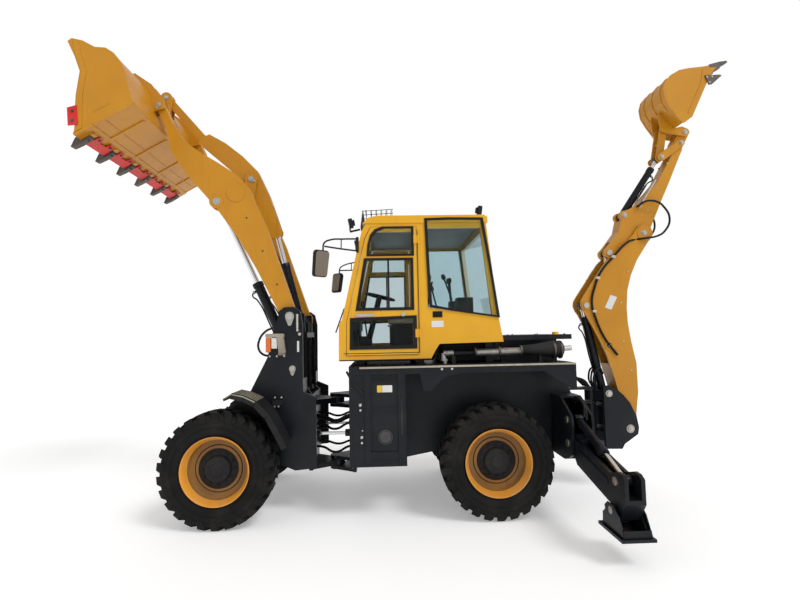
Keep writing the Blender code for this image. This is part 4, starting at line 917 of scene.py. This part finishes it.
def seat():
    """A padded seat and back in place of the plain one."""
    low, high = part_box("seat")
    width = high[1] - low[1]
    base_x = MID_X - 0.545
    pads = (("seat_pad", Vector((base_x, 0, 2.080)), (0.400, width * 0.94, 0.110), 0.0),
            ("seat_back", Vector((MID_X - 0.790, 0, 2.385)), (0.110, width * 0.90, 0.500), -0.20))
    for name, centre, size, lean in pads:
        bm = bmesh.new()
        bmesh.ops.create_cube(bm, size=1.0)
        bmesh.ops.subdivide_edges(bm, edges=bm.edges, cuts=5, use_grid_fill=True)
        for v in bm.verts:
            u = [abs(c) * 2 for c in v.co]
            flat = min(range(3), key=lambda k: size[k])
            across = [u[k] for k in range(3) if k != flat]
            crown = 1.0 - 0.32 * max(across) ** 3
            v.co[flat] *= crown
            v.co[flat] *= 0.95 if 0.35 < u[1] < 0.50 else 1.0
        bmesh.ops.transform(bm, matrix=Matrix.Translation(centre)
                            @ Matrix.Rotation(lean, 4, "Y")
                            @ Matrix.Diagonal((*size, 1.0)), verts=bm.verts)
        pad = emit(name, bm, CLOTH, "rear_frame", 0.0, 2, 180)
        smooth = pad.modifiers.new("rounding", "SUBSURF")
        smooth.levels = smooth.render_levels = 2
    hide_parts("seat")
    bm = bmesh.new()
    add_block(bm, Vector((base_x + 0.02, 0, 2.022)), (0.380, width * 0.80, 0.014))
    add_block(bm, Vector((MID_X - 0.842, 0, 2.330)), (0.016, width * 0.70, 0.440),
              Matrix.Rotation(-0.20, 3, "Y"))
    emit("seat_pan", bm, SATIN, "rear_frame", 0.004)


# ---- frames ----
def front_frame_details():
    """Corner lamps, hose loops, fittings and the worn fender tops on the front frame."""
    for name, sign in SIDES:
        out = Vector((0, sign, 0))
        ribs = bmesh.new()
        path = [(1.270, 1.348), (1.150, 1.321), (1.034, 1.265), (0.908, 1.131), (0.814, 0.955),
                (0.743, 0.813)]
        for (x0, z0), (x1, z1) in zip(path, path[1:]):
            step, turn = sloped((x0, z0), (x1, z1))
            for k in range(6):
                add_block(ribs, at((x0 + x1) / 2, sign * (0.675 + 0.064 * k), (z0 + z1) / 2
                                   + 0.003), (step.length + 0.004, 0.022, 0.010), turn)
            add_block(ribs, at((x0 + x1) / 2, sign * 1.034, (z0 + z1) / 2 - 0.020),
                      (step.length + 0.006, 0.010, 0.062), turn)
        emit(f"{name}_fender_ribs", ribs, SATIN, "front_frame", 0.002)
        top = bmesh.new()
        side_sheet(top, [(1.352, 1.304), (1.270, 1.352), (1.150, 1.326), (1.030, 1.268),
                         (1.034, 1.255), (1.150, 1.312), (1.268, 1.340), (1.348, 1.294)],
                   sign * 0.645, sign * 1.040)
        emit(f"{name}_fender_top", top, BEIGE, "front_frame", 0.003)
        bolts = bmesh.new()
        bolt_row(bolts, ((0.971, 1.704), (0.893, 1.704), (0.814, 1.704)),
                 sign * TOWER_FACE, 0.011)
        emit(f"{name}_lamp_bolts", bolts, ZINC, "front_frame")
        tags = bmesh.new()
        side_panel(tags, 0.650, 0.672, 1.746, 1.864, sign * 0.6402, sign * 0.642)
        emit(f"{name}_tower_tag", tags, BLANK, "front_frame")
        # corner lamp: beige hood and limb, amber and clear lenses
        lamp = bmesh.new()
        add_block(lamp, at(0.905, sign * 0.672, 1.930), (0.200, 0.062, 0.040))
        add_block(lamp, at(0.838, sign * 0.672, 1.828), (0.075, 0.062, 0.190),
                  Matrix.Rotation(radians(8), 3, "Y"))
        add_block(lamp, at(0.838, sign * 0.648, 1.728), (0.080, 0.016, 0.030))
        emit(f"{name}_corner_lamp_hood", lamp, BEIGE, "front_frame", 0.008, 3)
        amber = bmesh.new()
        add_block(amber, at(0.975, sign * 0.672, 1.828), (0.052, 0.070, 0.160))
        emit(f"{name}_corner_lamp_amber", amber, AMBER, "front_frame", 0.010, 3)
        clear = bmesh.new()
        add_block(clear, at(0.912, sign * 0.668, 1.846), (0.066, 0.056, 0.120))
        emit(f"{name}_corner_lamp_clear", clear, BLANK, "front_frame", 0.012, 3)
        tube(f"{name}_lamp_hose",
             [at(0.930, sign * 0.600, 2.020), at(1.020, sign * 0.630, 1.975),
              at(1.085, sign * 0.650, 1.870), at(1.085, sign * 0.650, 1.780),
              at(1.040, sign * 0.640, 1.725), at(0.980, sign * 0.605, 1.705)], 0.012, SEAL,
             "front_frame")
        # hose block over the fender
        block = bmesh.new()
        add_block(block, at(0.885, sign * 0.650, 1.205), (0.110, 0.030, 0.060))
        for x, z in ((0.835, 1.262), (0.905, 1.262), (0.868, 1.165), (0.908, 1.165)):
            add_disc(block, at(x, sign * TOWER_FACE, z), out, 0.014, 0.045, 12)
        emit(f"{name}_fender_fittings", block, SATIN, "front_frame", 0.003)
        tips = bmesh.new()
        for x, z in ((0.835, 1.262), (0.905, 1.262), (0.868, 1.165), (0.908, 1.165)):
            add_disc(tips, at(x, sign * 0.686, z), out, 0.010, 0.008, 12)
        emit(f"{name}_fender_fitting_ends", tips, ZINC, "front_frame")
        # hoses inside the tower's back and the fittings at its top
        for k in range(3):
            y = sign * (0.120 + 0.055 * k)
            tube(f"{name}_tower_hose_{k}",
                 [at(0.606, y, 1.000), at(0.596, y, 1.250), at(0.598, y, 1.600),
                  at(0.600, y * 1.1, 1.900)], 0.013, SEAL, "front_frame")
        fittings = bmesh.new()
        for z in (2.140, 2.060, 1.985):
            add_disc(fittings, at(0.665, sign * 0.6402, z), out, 0.017, 0.020, 6)
        add_turned(fittings, [(0, 0), (0.014, 0), (0.014, 0.190), (0, 0.190)],
                   at(0.665, sign * 0.662, 1.970), (0, 0, 1), 16)
        add_disc(fittings, at(0.640, sign * 0.640, 1.940), out, 0.020, 0.030, 6)
        for k in range(3):
            add_disc(fittings, at(0.606, sign * (0.120 + 0.055 * k), 1.270), (0, 0, 1), 0.019,
                     0.045, 6)
        emit(f"{name}_tower_fittings", fittings, ZINC, "front_frame")


def joint_hoses():
    """Hoses that cross the steering pin, between the two frames."""
    for k, (y, z) in enumerate(((0.120, 0.980), (0.060, 0.940), (-0.060, 0.930), (-0.120, 0.975),
                                (0.150, 0.620), (-0.150, 0.620), (0.200, 0.900))):
        hose = tube(f"articulation_hose_{k}",
                    [at(0.550, y, z), at(0.450, y * 1.1, z - 0.010), at(0.300, y * 1.5, z - 0.060),
                     at(0.150, y * 1.1, z - 0.010), at(0.030, y, z)], 0.014, SEAL, None, 3)
        solid = as_mesh(hose)
        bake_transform(solid)


def as_mesh(curve_object):
    """The same shape as a mesh object."""
    graph = bpy.context.evaluated_depsgraph_get()
    mesh = bpy.data.meshes.new_from_object(curve_object.evaluated_get(graph))
    name = curve_object.name
    material = curve_object.data.materials[0]
    bpy.data.objects.remove(curve_object)
    made = bpy.data.objects.new(name, mesh)
    bpy.context.scene.collection.objects.link(made)
    mesh.materials.clear()
    mesh.materials.append(material)
    mesh.shade_smooth()
    return made


def rear_frame_details():
    """Deck edge, box fronts, buttons, bolts, braces, blank tags and leg and post hoses."""
    for name, sign in SIDES:
        edge = bmesh.new()
        side_panel(edge, -2.300, -0.020, 1.564, 1.583, sign * 0.948, sign * 0.958)
        emit(f"{name}_deck_edge", edge, CREAM, "rear_frame", 0.002)
        plates = bmesh.new()
        for x in range(9):
            add_block(plates, at(-2.180 + 0.26 * x, sign * 0.760, 1.582), (0.230, 0.300, 0.004))
        emit(f"{name}_deck_plates", plates, SATIN, "rear_frame", 0.001)
        out = Vector((0, sign, 0))
        box = bmesh.new()
        side_panel(box, -0.154, -0.413, 0.718, 1.501, sign * BOX_FACE, sign * 0.944)
        for x0, x1, z0, z1, thick in ((-0.067, -0.130, 0.600, 1.545, 0.016),
                                      (-0.413, -0.492, 0.600, 1.545, 0.016),
                                      (-0.130, -0.413, 1.501, 1.545, 0.014),
                                      (-0.130, -0.413, 0.640, 0.716, 0.014),
                                      (-0.154, -0.413, 1.114, 1.130, 0.010),
                                      (-0.154, -0.413, 1.160, 1.172, 0.010),
                                      (0.088, -0.067, 0.562, 1.500, 0.006)):
            side_panel(box, x0, x1, z0, z1, sign * BOX_FACE,
                       sign * (BOX_FACE + thick))
        emit(f"{name}_box_front", box, BLACK, "rear_frame", 0.003)
        rim = bmesh.new()
        add_turned(rim, [(0.066, 0.0), (0.074, 0.0), (0.074, 0.008), (0.066, 0.008),
                         (0.066, 0.0)], at(-0.280, sign * 0.944, 0.861), out, 48)
        add_disc(rim, at(-0.280, sign * 0.942, 0.861), out, 0.060, 0.004, 40)
        side_panel(rim, -0.450, -0.456, 0.884, 1.248, sign * 0.956, sign * 0.958)
        emit(f"{name}_box_ring", rim, WORN, "rear_frame")
        trim = bmesh.new()
        for x, z, size in ((-0.025, 1.193, 0.017), (-0.025, 1.140, 0.013), (-0.044, 0.932, 0.008),
                           (-0.036, 0.864, 0.016), (-0.036, 0.808, 0.013),
                           (-0.881, 1.545, 0.013), (-0.988, 1.545, 0.013)):
            add_disc(trim, at(x, sign * (0.946 if x > -0.2 else 0.950), z), out, size, 0.010, 24,
                     0.4)
        emit(f"{name}_box_buttons", trim, ZINC, "rear_frame")
        dull = bmesh.new()
        for x in (-1.300, -1.600, -1.900, -2.200):
            add_bolt(dull, at(x, sign * 0.950, 1.540), out, 0.010)
        bolt_row(dull, ((-0.170, 0.735), (-0.397, 0.735), (-0.170, 1.485), (-0.397, 1.485)),
                 sign * 0.944, 0.008)
        emit(f"{name}_box_bolts", dull, SATIN, "rear_frame")
        tag = bmesh.new()
        side_panel(tag, -0.201, -0.253, 1.319, 1.390, sign * 0.944, sign * 0.9465)
        emit(f"{name}_box_tag", tag, TAG, "rear_frame")
        tag = bmesh.new()
        side_panel(tag, -0.255, -0.358, 1.319, 1.390, sign * 0.944, sign * 0.9465)
        emit(f"{name}_box_plate", tag, BLANK, "rear_frame")
        slot = bmesh.new()
        side_panel(slot, -0.160, -0.407, 1.414, 1.495, sign * 0.944, sign * 0.9465)
        for k in range(5):
            add_disc(slot, at(-0.190 - 0.045 * k, sign * 0.946, 1.455), out, 0.014, 0.010, 12)
        emit(f"{name}_box_slot", slot, SEAL, "rear_frame")
        tube(f"{name}_deck_brace",
             [at(0.114, sign * 0.930, 1.540), at(0.060, sign * 0.950, 1.450),
              at(-0.060, sign * 0.956, 1.296)], 0.012, SATIN, "rear_frame")
        for k, (x, z) in enumerate(((-2.300, 1.060), (-2.320, 1.030))):
            tube(f"{name}_leg_hose_{k}",
                 [at(x, sign * 0.800, z + 0.10), at(x + 0.01, sign * 0.960, z + 0.16),
                  at(x - 0.01, sign * 1.080, z + 0.10), at(x, sign * 1.120, z - 0.02)],
                 0.010, SEAL, "rear_frame")
        caps = bmesh.new()
        for y, z in ((0.980, 0.760), (0.980, 1.000)):
            for x, way in ((-2.170, 1), (-2.405, -1)):
                add_disc(caps, at(x, sign * y, z), (way, 0, 0), 0.040, 0.012, 32)
        emit(f"{name}_beam_caps", caps, ZINC, "rear_frame")
    # lines from the beam to the swing post
    for k in range(4):
        y = 0.090 - 0.060 * k
        tube(f"post_hose_{k}",
             [at(-2.350, y, 1.230), at(-2.520, y * 1.3, 1.330 + 0.02 * k),
              at(-2.700, y * 1.4, 1.320), at(-2.800, y, 1.222)], 0.013, SEAL, "rear_frame")


def exhaust():
    """Foil-wrapped pipe, dark silencer with its cone and bands, and a bright tailpipe."""
    y = 0.700
    dark = bmesh.new()
    add_turned(dark, [(0, 0), (0.048, 0), (0.052, 0.020), (0.062, 0.150), (0.064, 0.170),
                      (0.092, 0.360), (0.094, 0.440), (0.090, 0.450), (0.060, 0.470), (0, 0.470)],
               at(-1.790, y, 1.715), (-1, 0, 0.01), 48)
    add_turned(dark, [(0, 0), (0.026, 0), (0.026, 0.300), (0, 0.300)], at(-1.010, y, 1.695),
               (-1, 0, 0.01), 24)
    for x in (-1.040, -2.000):
        add_block(dark, at(x, y, 1.625), (0.040, 0.060, 0.090))
    cover = emit("silencer", dark, SATIN, "rear_frame", 0.002)
    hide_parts("exhaust")
    foil = bmesh.new()
    for start, end, r in ((-1.286, -1.800, 0.040), (-0.930, -1.040, 0.034)):
        count = int((start - end) / 0.016)
        profile = [(0.0, 0.0)]
        for i in range(count * 2 + 1):
            profile.append((r + (0.004 if i % 2 else 0.0), (start - end) * i / (count * 2)))
        profile.append((0.0, start - end))
        add_turned(foil, profile, at(start, y, 1.700), (-1, 0, 0.01), 32)
    add_disc(foil, at(-0.930, y, 1.700), (0, 0, -1), 0.030, 0.090, 20)
    add_disc(foil, at(-0.960, y, 1.640), (0.3, 0, -1), 0.022, 0.060, 16)
    add_turned(foil, [(0, 0), (0.028, 0), (0.028, 0.105), (0.022, 0.105), (0.022, 0.020),
                      (0, 0.020)], at(-2.250, y, 1.722), (-1, 0, 0.06), 32)
    emit("exhaust_foil_pipe", foil, FOIL, "rear_frame")
    bands = bmesh.new()
    for x, r in ((-1.286, 0.046), (-1.550, 0.046), (-1.790, 0.054), (-2.150, 0.095),
                 (-2.225, 0.097)):
        add_turned(bands, [(r - 0.004, -0.010), (r + 0.002, -0.010), (r + 0.002, 0.010),
                           (r - 0.004, 0.010)], at(x, y, 1.712), (1, 0, 0), 40)
    emit("exhaust_bands", bands, STEEL, "rear_frame")
    cap = bmesh.new()
    add_disc(cap, at(-2.240, 0.540, 1.880), (0, 0, 1), 0.036, 0.030, 28)
    emit("filler_cap", cap, YELLOW, "rear_frame")
    bolts = bmesh.new()
    for x in (-2.360, -2.020, -1.700):
        for y_out in (0.500, -0.500):
            add_bolt(bolts, at(x, y_out, 1.880), (0, 0, 1), 0.012)
    emit("hood_bolts", bolts, STEEL, "rear_frame")
    tank = bmesh.new()
    add_block(tank, at(-1.270, 0.0, 1.695), (0.680, 1.000, 0.210))
    add_block(tank, at(-1.270, 0.0, 1.690), (0.700, 0.900, 0.160))
    emit("hydraulic_tank", tank, SATIN, "rear_frame", 0.020, 3)


# ---- backhoe ----
def backhoe_details():
    """Hose loops, clips, blank plates and boss rings on boom and dipper."""
    for name, sign in SIDES:
        bosses = bmesh.new()
        for joint, body_out, r in (("dipper_crowd", 0.135, 0.090),
                                   ("dipper_barrel_pivot", 0.135, 0.060)):
            add_disc(bosses, Vector((pin(joint).x, sign * (body_out - 0.002), pin(joint).z)),
                     (0, sign, 0), r, 0.008, 48)
        eye = at(-2.784, sign * 0.133, 2.225)
        add_disc(bosses, eye, (0, sign, 0), 0.058, 0.010, 40)
        # Bosses in the darker arm yellow, which is painted shade.
        emit(f"{name}_boom_bosses", bosses, SHADED_ARM_YELLOW, "boom")
        caps = bmesh.new()
        add_disc(caps, at(-2.784, sign * 0.143, 2.225), (0, sign, 0), 0.034, 0.010, 32)
        bolt_row(caps, ((-3.310, 1.420), (-3.230, 1.780), (-3.220, 2.250), (-3.330, 2.640)),
                 sign * BOOM_FACE, 0.010)
        emit(f"{name}_boom_caps", caps, ZINC, "boom")
        bm = bmesh.new()
        add_disc(bm, at(-3.127, sign * 0.100, 2.882), (0, sign, 0), 0.036, 0.010, 32)
        bolt_row(bm, ((-3.640, 3.420), (-3.780, 3.700), (-3.930, 4.020)),
                 sign * 0.100, 0.009)
        emit(f"{name}_dipper_caps", bm, ZINC, "dipper")
    plate = bmesh.new()
    for sign in (1, -1):
        side_sheet(plate, [(-3.095, 2.165), (-3.175, 2.320), (-3.095, 2.350), (-3.015, 2.195)],
                   sign * 0.1352, sign * 0.137)
    emit("boom_blank_plates", plate, BLANK, "boom")
    route = [(-3.486, 3.451), (-3.580, 3.510), (-3.657, 3.520), (-3.740, 3.500),
             (-3.794, 3.460), (-3.876, 3.294), (-3.802, 3.129), (-3.700, 3.070),
             (-3.580, 3.050), (-3.450, 3.040)]
    radius, bulge, ends = 0.016 * 0.8, 0.170, (0, len(route) - 1)
    for name, sign in SIDES:
        points = [at(x, sign * (bulge - 0.05 if i in ends else bulge), z)
                  for i, (x, z) in enumerate(route)]
        hose = as_mesh(tube(f"{name}_dipper_hose", points, radius, SEAL, None))
        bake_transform(hose)
    for name, sign in SIDES:
        tube(f"{name}_boom_hose",
             [at(-3.450, sign * 0.122, 3.040), at(-3.350, sign * 0.150, 3.010),
              at(-3.146, sign * 0.152, 2.822), at(-2.973, sign * 0.152, 2.624),
              at(-2.900, sign * 0.152, 2.464), at(-2.850, sign * 0.152, 2.254),
              at(-2.890, sign * 0.152, 2.060), at(-2.990, sign * 0.150, 1.820),
              at(-3.140, sign * 0.150, 1.610)], 0.013, SEAL, "boom")
        clips = bmesh.new()
        for x, z in ((-3.146, 2.822), (-2.940, 2.560), (-2.875, 2.150)):
            add_block(clips, at(x, sign * 0.148, z), (0.050, 0.036, 0.030))
        emit(f"{name}_hose_clips", clips, ZINC, "boom", 0.004)
    # pipes along the dipper's front
    for k in range(2):
        y = 0.030 - 0.060 * k
        way = 1 if y > 0 else -1
        tube(f"dipper_pipe_{k}",
             [at(-3.520, y + 0.09 * way, 3.430), at(-3.600, y + 0.082 * way, 3.560),
              at(-3.760, y + 0.082 * way, 3.800)], 0.009, ZINC, "dipper")
    # hoses at the swing post
    for k in range(3):
        y = 0.050 - 0.050 * k
        tube(f"post_top_hose_{k}",
             [at(-2.900, y, 1.190), at(-2.860, y * 1.5, 1.330), at(-2.930, y * 1.6, 1.450),
              at(-2.990, y, 1.380)], 0.012, SEAL, "swing_post")


def stabiliser_details():
    """Pin caps, edge ribs, grousers and shoes on the legs and pads."""
    back, front = (corner[0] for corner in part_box("left_stabiliser"))
    mid, half = (back + front) / 2, (front - back) / 2
    for name, sign in SIDES:
        foot = pin(f"{name}_pad_pivot")
        eye_y, eye_z = sign * 1.950, 0.650
        bm = bmesh.new()
        for way in (1, -1):
            add_disc(bm, Vector((mid + way * half, eye_y, eye_z)), (way, 0, 0), 0.036, 0.012, 32)
        emit(f"{name}_leg_caps", bm, ZINC, f"{name}_stabiliser")
        bm = bmesh.new()
        low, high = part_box(f"{name}_pad")
        for x, way in ((mid + half + 0.024, 1), (mid - half - 0.024, -1)):
            add_disc(bm, Vector((x, foot.y, foot.z)), (way, 0, 0), 0.034, 0.014, 32)
        emit(f"{name}_pad_caps", bm, ZINC, f"{name}_pad")
        bm = bmesh.new()
        for k in range(5):
            y = low[1] + (high[1] - low[1]) * (k + 0.5) / 5
            add_block(bm, Vector(((low[0] + high[0]) / 2, y, low[2] + 0.006)),
                      (high[0] - low[0] - 0.02, 0.018, 0.012))
        emit(f"{name}_pad_grousers", bm, BLACK, f"{name}_pad", 0.002)
        bm = bmesh.new()
        for way in (1, -1):
            face = mid + way * (half + 0.030)
            profile = [(1.740, 0.242), (1.752, 0.330), (1.800, 0.380), (1.790, 0.410),
                       (1.850, 0.455), (1.960, 0.455), (2.040, 0.400), (2.120, 0.262),
                       (2.120, 0.242)]
            add_sheet(bm, [(sign * y, z) for y, z in profile], face - 0.004, face + 0.004,
                      lambda u, v, w: Vector((w, u, v)))
        for y, z0, z1 in ((1.745, 0.242, 0.340), (2.112, 0.242, 0.300)):
            add_block(bm, Vector((mid, sign * y, (z0 + z1) / 2)),
                      ((half + 0.030) * 2, 0.012, z1 - z0))
        emit(f"{name}_pad_shoe", bm, BLACK, f"{name}_pad", 0.002)
        bm = bmesh.new()
        for way in (1, -1):
            add_block(bm, Vector((mid + way * (half + 0.003), sign * 1.500, 0.660)),
                      (0.006, 0.620, 0.040),
                      Matrix.Rotation(-sign * radians(10), 3, "X"))
        emit(f"{name}_leg_ribs", bm, BLACK, f"{name}_stabiliser", 0.002)


def loader_arm_details():
    """Boss rings, hoses and bolts on the lift arms."""
    for name, sign in SIDES:
        bm = bmesh.new()
        for x, z, r in ((1.575, 3.452, 0.080), (1.360, 3.550, 0.105), (0.752, 2.138, 0.085)):
            add_disc(bm, at(x, sign * ARM_FACE, z), (0, sign, 0), r, 0.008, 48)
        # Bosses in the darker arm yellow, which is painted shade.
        emit(f"{name}_arm_bosses", bm, SHADED_ARM_YELLOW, "lift_arms")
        tube(f"{name}_arm_pipe",
             [at(0.840, sign * 0.492, 2.300), at(0.960, sign * 0.490, 2.640),
              at(1.140, sign * 0.490, 3.050), at(1.330, sign * 0.490, 3.440)], 0.009, SATIN,
             "lift_arms")
        bolts = bmesh.new()
        bolt_row(bolts, ((0.900, 2.500), (1.060, 2.880), (1.240, 3.260)),
                 sign * 0.580, 0.010)
        emit(f"{name}_arm_bolts", bolts, STEEL, "lift_arms")


# ---- stage ----
def stage():
    """Pale floor, soft light from the front left, and the camera."""
    bm = bmesh.new()
    add_block(bm, Vector((0, 0, -0.006)), (90, 90, 0.010))
    mesh = bpy.data.meshes.new("floor")
    bm.to_mesh(mesh)
    bm.free()
    floor = bpy.data.objects.new("floor", mesh)
    bpy.context.scene.collection.objects.link(floor)
    white = finish("floor_white", (0.88, 0.88, 0.88), (0.86, 0.86, 0.86), 0.9, 0.0, 0.3, 0.0,
                   0.0, 0.0)
    shader = white.node_tree.nodes["Principled BSDF"]
    shader.inputs["Emission Color"].default_value = (1.0, 1.0, 1.0, 1.0)
    shader.inputs["Emission Strength"].default_value = 0.28
    mesh.materials.append(white)
    world = bpy.data.worlds.new("studio")
    world.use_nodes = True
    tree = world.node_tree
    glow = tree.nodes["Background"]
    glow.inputs["Color"].default_value = (1.0, 1.0, 1.0, 1.0)
    glow.inputs["Strength"].default_value = 0.62
    backdrop = tree.nodes.new("ShaderNodeBackground")
    backdrop.inputs["Color"].default_value = (1.0, 1.0, 1.0, 1.0)
    backdrop.inputs["Strength"].default_value = 1.0
    seen = tree.nodes.new("ShaderNodeLightPath")
    choice = tree.nodes.new("ShaderNodeMixShader")
    tree.links.new(seen.outputs["Is Camera Ray"], choice.inputs["Fac"])
    tree.links.new(glow.outputs["Background"], choice.inputs[1])
    tree.links.new(backdrop.outputs["Background"], choice.inputs[2])
    tree.links.new(choice.outputs["Shader"], tree.nodes["World Output"].inputs["Surface"])
    scene = bpy.context.scene
    scene.world = world
    scene.view_settings.view_transform = "Standard"
    for name, aim, power, spread in (("key", (0.55, -0.55, -0.85), 1.25, 20.0),
                                     ("side", (0.80, -0.55, 0.10), 0.55, 40.0)):
        light = bpy.data.lights.new(name, "SUN")
        light.angle = radians(spread)
        light.energy = power
        lamp = bpy.data.objects.new(name, light)
        lamp.rotation_euler = Vector(aim).to_track_quat("-Z", "Y").to_euler()
        scene.collection.objects.link(lamp)
    camera_data = bpy.data.cameras.new("camera")
    camera_data.sensor_width = 36.0
    camera_data.lens = 22.28
    camera = bpy.data.objects.new("camera", camera_data)
    yaw, pitch, roll = radians(2.18), radians(3.92), radians(-1.15)
    look = Vector((-sin(yaw) * cos(pitch), -cos(yaw) * cos(pitch), sin(pitch)))
    level = Vector((-cos(yaw), sin(yaw), 0.0))
    top = level.cross(look)
    right = level * cos(roll) + top * sin(roll)
    up = top * cos(roll) - level * sin(roll)
    camera.matrix_world = (Matrix.Translation(at(-0.26, 6.14, 1.92))
                           @ Matrix((right, up, -look)).transposed().to_4x4())
    scene.collection.objects.link(camera)
    scene.camera = camera


stage()
carried()
wheels()
hydraulics()
pin_caps()
loader_bucket_details()
dig_bucket_details()
cab_windows()
mirrors()
roof_gear()
cab_inside()
seat()
front_frame_details()
joint_hoses()
rear_frame_details()
exhaust()
backhoe_details()
stabiliser_details()
loader_arm_details()

bpy.context.view_layer.update()
